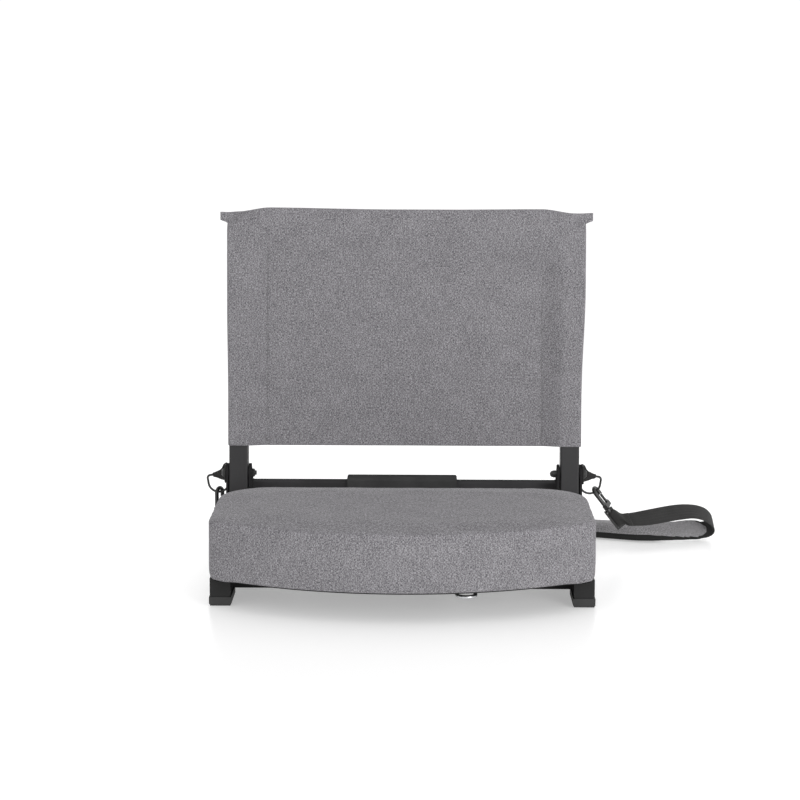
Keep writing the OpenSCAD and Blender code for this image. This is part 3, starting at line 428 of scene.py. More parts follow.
# Each point is a place, measured from the rail fronts, and the direction of the band's width
RAIL_Y = -125.947
TAIL = [
    ((311, 299, 45.6), (3, -8, -6)), ((303, 298, 45.6), (4, -7, -5)),
]
RUN = [
    ((303, 302, 45), (4, -7, -5)), ((316, 302, 45.2), (3, -8, -6)), ((331, 306, 46.2), (3, -7, -7)),
    ((347, 314, 47.2), (3, -7, -8)), ((364, 324, 48.2), (3, -7, -8)), ((381, 333, 48.8), (3, -7, -8)),
    ((397, 342, 48), (3, -7, -7)), ((411, 351, 44.5), (2, -7, -7)), ((423, 361, 38), (1, -7, -7)),
    ((431, 371, 30), (1, -7, -7)), ((435, 378, 22), (1, -6, -7)), ((432, 383, 16), (0, -5, -8)),
    ((424, 385, 12.6), (0, -5, -9)), ((413, 384, 11.8), (0, -5, -8)), ((399, 382, 11), (0, -6, -7)),
    ((383, 380, 7.4), (0, -8, -4)), ((366, 379, 5.4), (0, -8, -2)), ((349, 380, 1.6), (0, -8, 0)),
    ((332, 382, 1.2), (0, -8, 0)), ((314, 387, 1.2), (0, -8, 0)), ((296, 393, 1.2), (0, -8, 0)),
    ((276, 399, 1.2), (0, -8, 0)), ((256, 404, 1.2), (0, -8, 0)), ((234, 408.5, 1.2), (0, -8, 0)),
    ((212, 411.5, 1.2), (0, -8, 0)), ((192, 413, 1.2), (0, -8, 0)), ((174, 414, 1.2), (0, -8, 0)),
    ((150, 415, 1.2), (0, -8, 0)), ((100, 417, 1.2), (0, -8, 0)), ((40, 417, 1.2), (0, -8, 0)),
    ((-20, 414, 1.2), (0, -8, 0)), ((-80, 408, 1.2), (0, -8, 0)), ((-130, 400, 1.5), (0, -8, 0)),
    ((-160, 394, 5.7), (2, -7, -3)), ((-186, 387, 10), (2, -5, -6)), ((-209, 378, 12.4), (1, -3, -8)),
    ((-229, 367, 15), (0, -1, -8)), ((-245, 355, 20), (0, 0, -8)), ((-256, 343, 28), (0, 0, -8)),
]
# Places in a swivel eye's frame: the turn round the eye's bar, and the band's way to the left eye and back
WRAP = ((0.5, -3.1), (-5.4, -2.95), (-7.15, -1.4), (-7.15, 1.4), (-5.4, 2.95), (0.5, 3.1))
LEFT_IN = ((26, 2, -2), (18, 2), (8, 2), (4, 2.5))
LEFT_OUT = ((4, -2.5), (8, -2), (14, -2), (21, -2))
# The band lies askew at the first points, and is square to its run some points later
ASKEW_POINTS, SQUARING_POINTS = 10, 4


def at_eye(side, x, y, drop=0):
    """A place by a swivel eye, x and y from the bar that holds the band, and the width's direction."""
    eye_top, window, half_band, side_bar = -3.6, 1.7, 12.3, 5.0
    joint = next(j for j in frame["joints"] if j["name"] == f"clip_swivel_{side}")
    foot, shaft = np.array(joint["pos_m"]) / MM, np.array(joint["axis"])
    across = np.array([shaft[2], 0, -shaft[0]])
    back = np.array([0, 1, 0])
    if side == "left":
        across, back = back, -across
    place = foot + shaft * (eye_top - window - half_band + drop) + across * (side_bar + x) + back * y
    return tuple(place), tuple(-shaft)


def strap_route():
    def on_floor(points):
        return [((x, y + RAIL_Y, z), wide) for (x, y, z), wide in points]

    places = on_floor(TAIL) + [at_eye("right", *w) for w in WRAP] + on_floor(RUN)
    places += [at_eye("left", *w) for w in LEFT_IN + WRAP[::-1] + LEFT_OUT]
    at = np.array([p for p, _ in places], float)
    wide = np.array([w for _, w in places], float)
    wide /= np.linalg.norm(wide, axis=1)[:, None]
    run = np.gradient(at, axis=0)
    run /= np.linalg.norm(run, axis=1)[:, None]
    square = np.clip((np.arange(len(at)) - ASKEW_POINTS) / SQUARING_POINTS, 0, 1)[:, None]
    wide -= run * (run * wide).sum(1)[:, None] * square
    return np.hstack([at, wide / np.linalg.norm(wide, axis=1)[:, None]])


ROUTE = strap_route()


def through(points, k, t):
    """A point on the smooth curve through points, at a share t of the way from point k to the next."""
    shortest = 1e-6
    p = [points[min(max(k + d, 0), len(points) - 1)] for d in (-1, 0, 1, 2)]
    gap = [max(np.linalg.norm(p[i + 1][:3] - p[i][:3]), shortest) ** 0.5 for i in range(3)]
    straight = (p[2] - p[1]) / gap[1]

    def slope(i):
        into, out_of = gap[i - 1], gap[i]
        turned = (p[i + 1] - p[i]) / out_of - (p[i + 1] - p[i - 1]) / (into + out_of)
        return turned + (p[i] - p[i - 1]) / into

    start = (slope(1) if k else straight) * gap[1]
    end = (slope(2) if k < len(points) - 2 else straight) * gap[1]
    near = (2 * t**3 - 3 * t**2 + 1) * p[1] + (t**3 - 2 * t**2 + t) * start
    return near + (3 * t**2 - 2 * t**3) * p[2] + (t**3 - t**2) * end


def along_route(first, last, step):
    """Points, run, width and upper-face directions, and the route index, along part of the route."""
    rows, index = [], []
    for k in range(first, last):
        count = max(2, int(round(np.linalg.norm(ROUTE[k + 1, :3] - ROUTE[k, :3]) / step)))
        for i in range(count):
            rows.append(through(ROUTE, k, i / count))
            index.append(k + i / count)
    rows.append(ROUTE[last])
    index.append(last)
    rows = np.array(rows)
    at, across = rows[:, :3], rows[:, 3:]
    run = np.gradient(at, axis=0)
    run /= np.linalg.norm(run, axis=1)[:, None]
    across = across / np.linalg.norm(across, axis=1)[:, None]
    up = np.cross(run, across)
    up /= np.linalg.norm(up, axis=1)[:, None]
    return at, run, across, up, np.array(index)


BAND_W, BAND_T = 24.4, 1.6


def make_strap():
    at, _, across, up, index = along_route(0, len(ROUTE) - 1, 2.6)
    far = lengths(at)
    half, t = BAND_W / 2, BAND_T / 2
    xs = np.array([-half, 0.7 - half, -7.4, -2.5, 2.5, 7.4, half - 0.7, half])
    ts = np.array([0.45, 0.95, 1.0, 1.0, 1.0, 1.0, 0.95, 0.45]) * t
    ring = [(x, h) for x, h in zip(xs, ts)] + [(x, -h) for x, h in zip(xs[::-1], ts[::-1])]
    # The loop round each eye's bar is sewn double, so it fills the eye
    extra, reach = 0.6, 1.3
    right_fold, left_fold = len(TAIL) + 2.5, len(ROUTE) - 7.5
    thick = 1 + extra * bell(index - right_fold, reach) + extra * bell(index - left_fold, reach)
    points = np.array([[p + a * x + u * (y * k) for x, y in ring]
                       for p, a, u, k in zip(at, across, up, thick)])
    around = lengths(np.array(ring + ring[:1]))
    uv = np.array([[(a * MM, f * MM) for a in around] for f in far])
    parts = [grid(points, uv, wrap=True)]
    count = len(xs)
    for end, flip in ((points[0], True), (points[-1], False)):
        cap = np.array([end[:count], end[:count - 1:-1]])
        parts.append(grid(cap, np.array([[(x * MM, 0) for x in xs]] * 2), flip=flip))
    strap = weld("strap_band", parts)
    finish_piece(strap, [LOOKS["webbing"]], "base")
    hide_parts("strap_webbing")
    return strap, at * MM


# Half width and height of the shoulder pad at route points 20 to 34
PAD = np.array([
    (14, 7), (14, 12), (14.5, 15), (16, 18), (19, 19.5), (22.5, 20.5), (23, 20.5), (23, 20), (22.5, 20),
    (22, 20), (21.5, 19.5), (21, 19), (20.5, 18), (19, 15), (16, 9),
], float)


PAD_LOW = -0.7
# Distance of the seam across the pad from its first end
CROSS_SEAM = 118.0
# Share of the height at the first points, where the pad thins out toward the strap's turn
END_TAPER = (0.4, 0.5, 0.66, 0.8, 0.92, 1.0)
# Half section from the underside's middle up to the crown's: share of half width, share of height
PAD_SECTION = [
    (0, 0), (0.3, 0), (0.6, 0), (0.84, 0.02), (0.96, 0.1), (1, 0.22), (1.01, 0.34), (1.0, 0.43),
    (0.975, 0.47), (1.0, 0.51), (0.99, 0.6), (0.95, 0.7), (0.87, 0.81), (0.75, 0.89), (0.6, 0.945),
    (0.42, 0.98), (0.22, 1.0), (0, 1.0),
]
# The edge seam is at this point of the section, and the black side climbs this much higher at the first end
EDGE_SEAM, CLIMB = 8, 5


def make_pad():
    first, last = 20, 34
    at, run, across, up, index = along_route(first, last, 4.0)
    far = lengths(at)
    ring = PAD_SECTION + [(-a, b) for a, b in PAD_SECTION[-2:0:-1]]
    girth = lengths(np.array(ring + ring[:1]))
    mean_half_width, end_round = 22, 14.0
    rows, uv = [], []
    total = far[-1]
    for p, a, u, k, f in zip(at, across, up, index, far):
        w, h = (np.interp(k - first, np.arange(len(PAD)), PAD[:, i]) for i in (0, 1))
        end = min(f, total - f)
        round_end = math.sqrt(max(0.0, 1 - (1 - min(1.0, end / end_round)) ** 2)) * 0.45 + 0.55
        taper = np.interp(k - first, np.arange(len(END_TAPER)), END_TAPER)
        w, h = w * round_end, h * (round_end * 0.8 + 0.2) * taper
        lump = 1 + 0.035 * math.sin(f / 11.0) + 0.025 * math.sin(f / 5.3 + 1.0)
        lump -= 0.07 * bell(f - CROSS_SEAM, 3.0)
        high = [PAD_LOW + y * (h - PAD_LOW) * (lump if y > 0.5 else 1) for _, y in ring]
        rows.append([p + a * (x * w) + u * z for (x, _), z in zip(ring, high)])
        uv.append([(g * mean_half_width * MM, f * MM) for g in girth])
    points = np.array(rows)
    parts = [grid(points, np.array(uv), wrap=True, flip=True)]
    shades = []
    top = len(PAD_SECTION) - 1
    for k in index[:-1]:
        border = EDGE_SEAM + int(round(CLIMB * smoothstep(first + CLIMB - k, 0, CLIMB)))
        for j in range(len(ring)):
            level = j + 1 if j < top else 2 * top - j
            shades.append(1 if level <= border else 0)
    around, side_faces = len(ring), len(shades)
    # Drawn-in ends: two shrinking rings and a point
    for row, step in ((points[0], -1), (points[-1], 1)):
        centre = row.mean(0)
        out = run[0 if step < 0 else -1] * step
        shrinking = ((0.82, 2.2), (0.45, 3.8), (0.02, 4.3))
        rings = [row] + [centre + (row - centre) * s + out * d for s, d in shrinking]
        flat = np.array([[(q[0] * MM, q[1] * MM) for q in list(r) + [r[0]]] for r in rings])
        parts.append(grid(np.array(rings), flat, wrap=True, flip=step > 0))
        nearest = shades[:around] if step < 0 else shades[side_faces - around:side_faces]
        shades += nearest * (len(rings) - 1)
    pad = weld("shoulder_pad_cover", parts, shades=shades)
    finish_piece(pad, [pad_weave, LOOKS["black_cloth"]], "base", 1)
    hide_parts("shoulder_pad")
    return pad


strap, strap_path = make_strap()
pad = make_pad()


# Cushion: the same plan as in part.scad

CUSHION_W, CUSHION_D, BOW = 474.0, 208.0, 73.0
FRONT_Y = RAIL_Y - 13
REAR_Y = FRONT_Y + CUSHION_D
HALF = CUSHION_W / 2
BOW_R = (HALF**2 + BOW**2) / (2 * BOW)
BOW_Y = FRONT_Y - BOW + BOW_R
CORNER_F, CORNER_R = 14.0, 70.0
UNDER_Z, SEAM_Z, CROWN = 37.2, 109.7, 5.5
# The cloth of the underside lies this much above UNDER_Z, and is drawn in toward this point
UNDER_GAP = 0.2
UNDER_CENTRE = np.array([0, (FRONT_Y + REAR_Y) / 2 - 20])
# The cloth simulation lifts the top by this much
SIM_RISE, SIM_PRESSURE, SIM_FRAMES = 3.2, 4.0, 20


def front_edge(x):
    fx = HALF - CORNER_F
    fy = BOW_Y - math.sqrt((BOW_R - CORNER_F) ** 2 - fx**2)
    tangent = BOW_R * fx / (BOW_R - CORNER_F)
    x = np.minimum(np.abs(x), HALF)
    bow = BOW_Y - np.sqrt(BOW_R**2 - x**2)
    turn = fy - np.sqrt(np.maximum(CORNER_F**2 - np.maximum(x - fx, 0) ** 2, 0))
    return np.where(x <= tangent, bow, turn)


def rear_edge(x):
    x = np.minimum(np.abs(x), HALF)
    return REAR_Y - CORNER_R + np.sqrt(CORNER_R**2 - np.maximum(x - (HALF - CORNER_R), 0) ** 2)


def plan_grid():
    """Points of the cushion's plan as rows from front to back and columns from left to right."""
    ends = (HALF - CORNER_R) + CORNER_R * np.sin(np.radians(np.linspace(7.5, 90, 12)))
    middle = np.linspace(-(HALF - CORNER_R), HALF - CORNER_R, 57)
    xs = np.concatenate([-ends[::-1], middle, ends])
    t = np.linspace(0, 1, 45)
    v = 0.6 * 0.5 * (1 - np.cos(np.pi * t)) + 0.4 * t
    x = np.tile(xs, (len(v), 1))
    y = front_edge(xs) + (rear_edge(xs) - front_edge(xs)) * v[:, None]
    return np.stack([x, y], -1)


def rim_of(g):
    """The boundary of a grid as a closed loop: front, right side, rear, left side."""
    return np.concatenate([g[0], g[1:, -1], g[-1, -2::-1], g[-2:0:-1, 0]])


def inset_of(points, loop):
    """Distance of each plan point from the outline."""
    a, b = loop, np.roll(loop, -1, axis=0)
    out = np.full(len(points), 1e9)
    for p, q in zip(a, b):
        d = q - p
        t = np.clip(((points - p) @ d) / max(d @ d, TINY), 0, 1)
        out = np.minimum(out, np.linalg.norm(points - p - t[:, None] * d, axis=1))
    return out


def crown_shape(d):
    """The crown's share of its height at a distance from the seam: steep near it, then slow."""
    return 1 - 0.6 * np.exp(-d / 9) - 0.4 * np.exp(-d / 38)


def inflate(obj, held, cap):
    """Blows the cloth up from inside, and keeps the result in the mesh.

    Points move by cap at most, and less where they are held.
    """
    rest = coords(obj)
    group = obj.vertex_groups.new(name="held")
    for i, w in enumerate(held):
        if w > 0:
            group.add([i], float(w), "REPLACE")
    mod = obj.modifiers.new("Cloth", "CLOTH")
    s = mod.settings
    s.quality = 5
    s.mass = 0.3
    s.tension_stiffness = s.compression_stiffness = 25
    s.shear_stiffness = 8
    s.bending_stiffness = 1.0
    s.use_pressure = True
    s.uniform_pressure_force = SIM_PRESSURE
    s.effector_weights.gravity = 0
    s.vertex_group_mass = "held"
    s.pin_stiffness = 1.0
    mod.collision_settings.use_collision = False
    mod.point_cache.frame_start, mod.point_cache.frame_end = 1, SIM_FRAMES
    scene = bpy.context.scene
    for f in range(1, SIM_FRAMES + 1):
        scene.frame_set(f)
    shown = obj.evaluated_get(bpy.context.evaluated_depsgraph_get())
    made = np.array([v.co for v in shown.data.vertices])
    move = made - rest
    size = np.linalg.norm(move, axis=1)[:, None]
    limit = cap * MM * (1 - np.asarray(held)[:, None])
    put_coords(obj, rest + move * np.minimum(1, limit / np.maximum(size, TINY)))
    obj.modifiers.remove(mod)
    obj.vertex_groups.remove(group)
    scene.frame_set(1)


def corner_drop(x, y):
    """The cushion sags a little at its front corners, ahead of the rails."""
    return 2.4 * smoothstep(np.abs(x), 200, 226) * smoothstep(RAIL_Y - 1 - np.asarray(y), 0, 4)


def side_tuck(x, z):
    """The sides' lower edges are rounded."""
    r = 6.0
    low = np.clip(z - UNDER_Z - UNDER_GAP, 0, r)
    return (r - np.sqrt(r * r - (r - low) ** 2)) * smoothstep(np.abs(x), 214, 232)


# Rows of the boxing, by their distance below the top seam, then its last rows, drawn in under the edge
SEAM_ROWS = (0, 0.7, 1.8, 3.6, 7, 12, 18.5, 26, 34, 42, 50, 57, 62.5, 66.5, 69.5, 71)
TUCKED_ROWS = ((1.7, UNDER_Z + 0.5), (3.2, UNDER_Z + UNDER_GAP))


def boxing_row(loop, out, tuck, z):
    in_by = tuck + side_tuck(loop[:, 0], z)
    drop = corner_drop(loop[:, 0], loop[:, 1]) * smoothstep(z, UNDER_Z + 16, UNDER_Z + 1)
    return np.column_stack([loop - out * in_by[:, None], z - drop])


def make_boxing(loop):
    """The rim carried down and drawn in a little at the bottom, and each row's place in the UVs."""
    run = np.roll(loop, -1, axis=0) - np.roll(loop, 1, axis=0)
    out = np.stack([run[:, 1], -run[:, 0]], -1)
    out /= np.linalg.norm(out, axis=1)[:, None]
    rows, heights = [], []
    for d in SEAM_ROWS:
        tuck = 0.7 * smoothstep(d / SEAM_ROWS[-1], 0.95, 1.0)
        rows.append(boxing_row(loop, out, tuck, SEAM_Z - d))
        heights.append(SEAM_Z - d)
    for tuck, z in TUCKED_ROWS:
        rows.append(boxing_row(loop, out, tuck, z))
        heights.append(z - tuck)
    return np.array(rows), heights


def held_share(cushion, loop):
    """How firmly the simulation holds each point: the bottom fast, and the top seam nearly so."""
    co = coords(cushion) / MM
    z = co[:, 2]
    near_seam = np.abs(z - SEAM_Z) < 0.05
    inset = inset_of(co[:, :2], loop)
    held = np.where(z < UNDER_Z + 2.5, 1.0, 0.0)
    return np.maximum(held, np.where(near_seam & (inset < 0.05), 0.9, 0.0))


def make_cushion():
    plan = plan_grid()
    loop = rim_of(plan)
    depth = inset_of(plan.reshape(-1, 2), loop).reshape(plan.shape[:2])
    rise = SIM_RISE
    top = np.dstack([plan, SEAM_Z + (CROWN - rise) * crown_shape(depth)])
    boxing, heights = make_boxing(loop)
    far = lengths(np.vstack([loop, loop[:1]]))
    # In the UVs the boxing and the strip under its edge lie clear of the top
    uv = np.array([[(f * MM, h * MM + 0.4) for f in far] for h in heights])
    strip_uv = np.array([[(f * MM, v) for f in far] for v in (0.3, 0.29)])
    under = UNDER_CENTRE + (plan - UNDER_CENTRE) * 0.96
    under = np.dstack([under, UNDER_Z + UNDER_GAP - corner_drop(under[..., 0], under[..., 1])])
    strip = np.array([boxing[-1], rim_of(under)])
    parts = [
        grid(top, plan * MM),
        grid(boxing, uv, wrap=True, flip=True),
        grid(under, plan * MM, flip=True),
        grid(strip, strip_uv, wrap=True, flip=True),
    ]
    # The top's faces take the second material, the top weave with its painted shade
    top_faces = len(parts[0][1])
    other_faces = sum(len(faces) for _, faces, _ in parts[1:])
    cushion = weld("cushion_cover", parts, shades=[1] * top_faces + [0] * other_faces)
    inflate(cushion, held_share(cushion, loop), rise)
    shape_seams(cushion, loop)
    finish_piece(cushion, [weave, shaded_top_weave], "base", 1)
    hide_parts("seat_cover", "seat_foam")


def shape_seams(cushion, loop):
    """A shallow groove with small puckers along the top seam, and faint hand marks on top and sides."""
    co = coords(cushion)
    mm = co / MM
    inset = inset_of(mm[:, :2], loop)
    over = np.where(mm[:, 2] > SEAM_Z - 0.2, inset, 0) + np.maximum(SEAM_Z - mm[:, 2], 0)
    normals = np.array([v.normal for v in cushion.data.vertices])
    groove = -0.9 * bell(over, 0.8) + 0.3 * bell(over - 3.6, 2.4)
    pucker = ripple(mm * (1, 1, 0.25), 0.085, 1) * 0.55 * np.exp(-over / 11)
    marks = (ripple(mm, 0.018, 2) * 0.9 + ripple(mm, 0.045, 3) * 0.35) * smoothstep(over, 4, 26)
    low = smoothstep(mm[:, 2], UNDER_Z + 2, UNDER_Z + 12)
    gather = ripple(mm * (1, 1, 0.3), 0.11, 4) * 0.35 * (1 - smoothstep(mm[:, 2], UNDER_Z + 4, UNDER_Z + 24))
    put_coords(cushion, co + normals * ((groove + pucker + marks + gather) * low * MM)[:, None])


make_cushion()


# Sling cover: a pillowcase over the bent tube, in the back's own frame

RECLINE = math.radians(6)
PIVOT = np.array([0, 161.853, 111.0])
POST_X, TUBE = 224.8, 25.4
STITCH_X, COVER_X = 186.0, 239.0
COVER_LOW, COVER_TOP = 38.0, 357.5
DEEP = TUBE / 2 + 1.5
BEND_X, BEND_Z, BEND_OUT = 190.8, 309.3, 46.7
EAR_TIP = 249.0
THIN = 1.6
POST_SIDE = POST_X - TUBE / 2
# The corner ears start between these heights, and the top edge rounds in over its last millimetres
EAR_LOW, EAR_HIGH = 338.5, 341.5
EDGE = 4
# Folds that run in from the ears: distance below the top edge, slope, depth and half width
FOLDS = ((5.0, 0.0, 0.9, 1.2), (9.5, 0.03, 1.35, 1.3), (29.0, 0.42, 0.45, 5.0))
# Rows of the turned hem inside the open bottom: height and distance inward
HEM = ((0, 0.0), (-0.4, 0.7), (0.3, 1.3), (5, 1.4), (14, 1.4))
HEM_ROW_UV = 0.004


def back_to_frame(p):
    c, s = math.cos(RECLINE), math.sin(RECLINE)
    x, y, z = p[..., 0], p[..., 1], p[..., 2]
    return PIVOT + np.stack([x, y * c + z * s, z * c - y * s], -1)


def tube_edge(z):
    """The bent tube's outer side at a height, from the middle plane."""
    up = np.clip(z - BEND_Z, 0, BEND_OUT)
    return BEND_X + np.sqrt(np.maximum(BEND_OUT**2 - up**2, 0))


def cover_top(x):
    """Height of the cover's top edge, at one place or at an array of them."""
    x = np.abs(x)
    return COVER_TOP - 5.6 * smoothstep(x, 182, 226) + 1.6 * smoothstep(x, 226, 246)


def cover_depth(x, z):
    """Half the cover's thickness: thin in the panel, the tube's in the sleeves, thin in the corner ears."""
    x = abs(x)
    sleeve = smoothstep(x, STITCH_X + 0.5, POST_SIDE - 0.5) * 0.35
    sleeve = sleeve + 0.65 * np.clip((x - STITCH_X) / (POST_SIDE - STITCH_X), 0, 1)
    top = smoothstep(z, 268, 334)
    share = sleeve + top - sleeve * top
    slack = 1.8 * (1 - min(1, x / STITCH_X) ** 2) * smoothstep(z, COVER_LOW, COVER_LOW + 50)
    depth = THIN + slack * (1 - share) + (DEEP - THIN) * share
    edge = tube_edge(z)
    fall = smoothstep(x, edge - 3, max(edge + 9, COVER_X - 6)) * smoothstep(z, BEND_Z + 14, BEND_Z + 34)
    return depth * (1 - fall) + THIN * fall


SLEEVE_COLS = [185, 186, 187.2, 189, 193, 198, 203, 207.5, 210.5, 213]
COLS_FRONT = np.concatenate([np.linspace(0, 183, 31), SLEEVE_COLS])


def cover_half(v):
    """One row's right half, as points x, depth and height, from the middle of the front to the outer side."""
    def height(x):
        return COVER_LOW + (cover_top(x) - EDGE - COVER_LOW) * v

    z_mid = height(POST_X)
    ear = float(smoothstep(z_mid, EAR_LOW, EAR_HIGH))
    tip = COVER_X + (EAR_TIP - COVER_X) * ear
    row = [(x, cover_depth(x, height(x))) for x in COLS_FRONT]
    flat = np.linspace(216, 235 + 9 * ear, 6)
    row += [(x, cover_depth(x, z_mid)) for x in flat]
    r = 4 - 2.4 * ear
    deep = row[-1][1]
    turn = min(r, deep)
    for a in (22.5, 45, 67.5, 90):
        c, s = math.cos(math.radians(a)), math.sin(math.radians(a))
        row.append((tip - r + r * s, deep - turn + turn * c))
    inner = row[-1][1]
    row += [(tip + 0.4 * math.sin(math.pi * k / 4) * (1 - ear), inner * (1 - k / 4)) for k in (1, 2, 3, 4)]
    return [(x, d, height(min(x, EAR_TIP))) for x, d in row]


def closed_half():
    """All right half rows, from the open bottom to the seam along the top."""
    shares = np.concatenate([np.linspace(0, 0.82, 46), np.linspace(0.829, 1.0, 34)])
    rows = [np.array(cover_half(v)) for v in shares]
    # The edge rounds in, then the two layers meet on a flat seam
    last = rows[-1]
    for back, up in ((0.13, 0.5), (0.5, 0.87), (1.0, 1.0)):
        row = last.copy()
        row[:, 1] = np.maximum(last[:, 1] - back * np.minimum(EDGE, last[:, 1] * 0.7), 0)
        row[:, 2] = last[:, 2] + EDGE * up
        rows.append(row)
    rim = rows[-1]
    for share in (0.62, 0.3, 0.0):
        row = rim.copy()
        row[:, 1] *= share
        row[:, 2] += 0.8 * (1 - share)
        rows.append(row)
    return np.array(rows)


def pull_askew(loop):
    """The top edge rises a little toward its ends, and the sides lean, not the same left and right."""
    x, z = loop[..., 0], loop[..., 2]
    lift = 2.2 * smoothstep(-x, 20, 190) + 0.9 * smoothstep(x, 60, 190)
    flare = (1.0 + 4.4 * smoothstep(z, 110, 250)) * smoothstep(x, 120, 236)
    flare -= 1.2 * smoothstep(z, 120, 220) * smoothstep(-x, 120, 236)
    loop[..., 2] += lift * smoothstep(np.abs(x), 240, 226) * smoothstep(z, 280, 350)
    loop[..., 0] += flare


def make_cover():
    half = closed_half()
    # Full loop: front from left to right, then the back from right to left
    front = np.concatenate([half[:, :0:-1] * (-1, 1, 1), half], axis=1) * (1, -1, 1)
    back = front[:, -2:0:-1] * (1, -1, 1)
    loop = np.concatenate([front, back], axis=1)
    pull_askew(loop)
    creases(loop)
    closed = np.concatenate([loop, loop[:, :1]], axis=1)
    girth = np.zeros(closed.shape[:2])
    girth[:, 1:] = np.cumsum(np.linalg.norm(np.diff(closed[:, :, :2], axis=1), axis=2), axis=1)
    across = (girth - girth[:, loop.shape[1] // 4][:, None]) * MM
    # The UVs take their height from a column near the middle of the front
    rise = lengths(loop[:, 40])[:, None] * MM
    uv = np.dstack([across, np.tile(rise, (1, girth.shape[1]))])
    hem = []
    for up, inward in HEM:
        row = loop[0].copy()
        row[:, 2] += up
        row[:, 1] -= np.sign(row[:, 1]) * np.minimum(np.abs(row[:, 1]), inward)
        row[:, 0] -= np.sign(row[:, 0]) * np.where(np.abs(row[:, 0]) > 236, inward, 0)
        hem.append(row)
    hem_rise = -np.arange(len(hem))[:, None] * HEM_ROW_UV
    hem_uv = np.dstack([np.tile(across[0], (len(hem), 1)), np.tile(hem_rise, (1, girth.shape[1]))])
    parts = [
        grid(back_to_frame(loop), uv, wrap=True),
        grid(back_to_frame(np.array(hem)), hem_uv, wrap=True, flip=True),
    ]
    cover = weld("sling_cover", parts)
    finish_piece(cover, [weave], "back", 1)
    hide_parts("back_cover")


def creases(loop):
    """Stitch grooves, the folds that run in from the ears, the top stitch line, and slight waves."""
    x, y, z = loop[..., 0], loop[..., 1], loop[..., 2]
    side = np.sign(y)
    ax = np.abs(x)
    push = np.zeros_like(x)
    push -= 0.8 * bell(ax - STITCH_X, 1.4) * (1 - smoothstep(z, 290, 320))
    top = cover_top(ax)
    push -= 0.9 * bell(top - z - 8.5, 1.5) * smoothstep(ax, 232, 190)
    for drop, slope, size, width in FOLDS:
        line = top - drop - (EAR_TIP - ax) * slope
        reach = smoothstep(ax, 178, 214) * (1 - smoothstep(ax, 238, 246))
        push -= size * bell(z - line, width) * reach
        push += size * 0.6 * bell(z - line - 2 * width, width) * reach
    co = np.stack([x, side * 40, z], -1).reshape(-1, 3)
    wave = ripple(co, 0.011, 5) * 1.1 + ripple(co * (1, 1, 0.5), 0.03, 6) * 0.35
    wave = wave.reshape(x.shape) * smoothstep(ax, 206, 170) * smoothstep(z, 350, 330)
    sleeve = (ripple(co * (1.5, 1, 0.5), 0.05, 7) * 0.35).reshape(x.shape) * smoothstep(ax, 190, 200)
    push += wave + sleeve * (1 - smoothstep(ax, 234, 239))
    room = np.maximum(np.abs(y) - 0.6, 0)
    loop[..., 1] += side * np.clip(push, -room, 3)


STITCH_LENGTH, STITCH_RADIUS, STITCH_PITCH = 2.6, 0.32, 3.9
# Rings of a stitch from end to end: place along it, share of its radius, height above the cloth
STITCH_RINGS = ((-1, 0.35, -0.1), (-0.7, 1, 0.12), (0.7, 1, 0.12), (1, 0.35, -0.1))
STITCH_SIDES = 6


def stitches(name, places, body, mat):
    """Short threads, each a place, a direction along the seam and the surface's outward direction."""
    verts, faces = [], []
    for p, d, out in places:
        side = np.cross(d, out)
        start = len(verts)
        for t, r, h in STITCH_RINGS:
            middle = p + d * t * STITCH_LENGTH / 2
            for a in range(STITCH_SIDES):
                c, s = math.cos(a * math.pi / 3), math.sin(a * math.pi / 3)
                verts.append(tuple((middle + (side * c + out * s) * r * STITCH_RADIUS + out * h) * MM))
        for ring in range(start, len(verts) - STITCH_SIDES, STITCH_SIDES):
            for a in range(STITCH_SIDES):
                b = (a + 1) % STITCH_SIDES
                faces.append([ring + a, ring + b, ring + STITCH_SIDES + b, ring + STITCH_SIDES + a])
        faces.append([start + a for a in reversed(range(STITCH_SIDES))])
        faces.append([len(verts) - STITCH_SIDES + a for a in range(STITCH_SIDES)])
    mesh = bpy.data.meshes.new(name)
    mesh.from_pydata(verts, [], faces)
    mesh.shade_smooth()
    finish_piece(add(name, mesh), [mat], body)


def sleeve_stitches():
    c, s = math.cos(RECLINE), math.sin(RECLINE)
    up = np.array([0, s, c])
    places = []
    for side in (-1, 1):
        for face in (-1, 1):
            for z in np.arange(COVER_LOW + 5, 300, STITCH_PITCH):
                p = back_to_frame(np.array([side * STITCH_X, face * (cover_depth(STITCH_X, z) - 0.42), z]))
                places.append((p, up, np.array([0, c * face, -s * face])))
    stitches("sleeve_stitches", places, "back", thread)


make_cover()
sleeve_stitches()


# Webbing tabs under the pivot bolts: the folded webbing is gathered toward the ring

# Half height and middle height of the webbing by its distance from the middle plane, from plate to ring
TAB_X = (244.1, 246.5, 249, 251.5, 257, 263)
TAB_HALF = (12.5, 11.0, 8.2, 6.6, 4.3, 2.8)
TAB_MIDDLE = (111, 110, 107.3, 106, 105, 104.3)


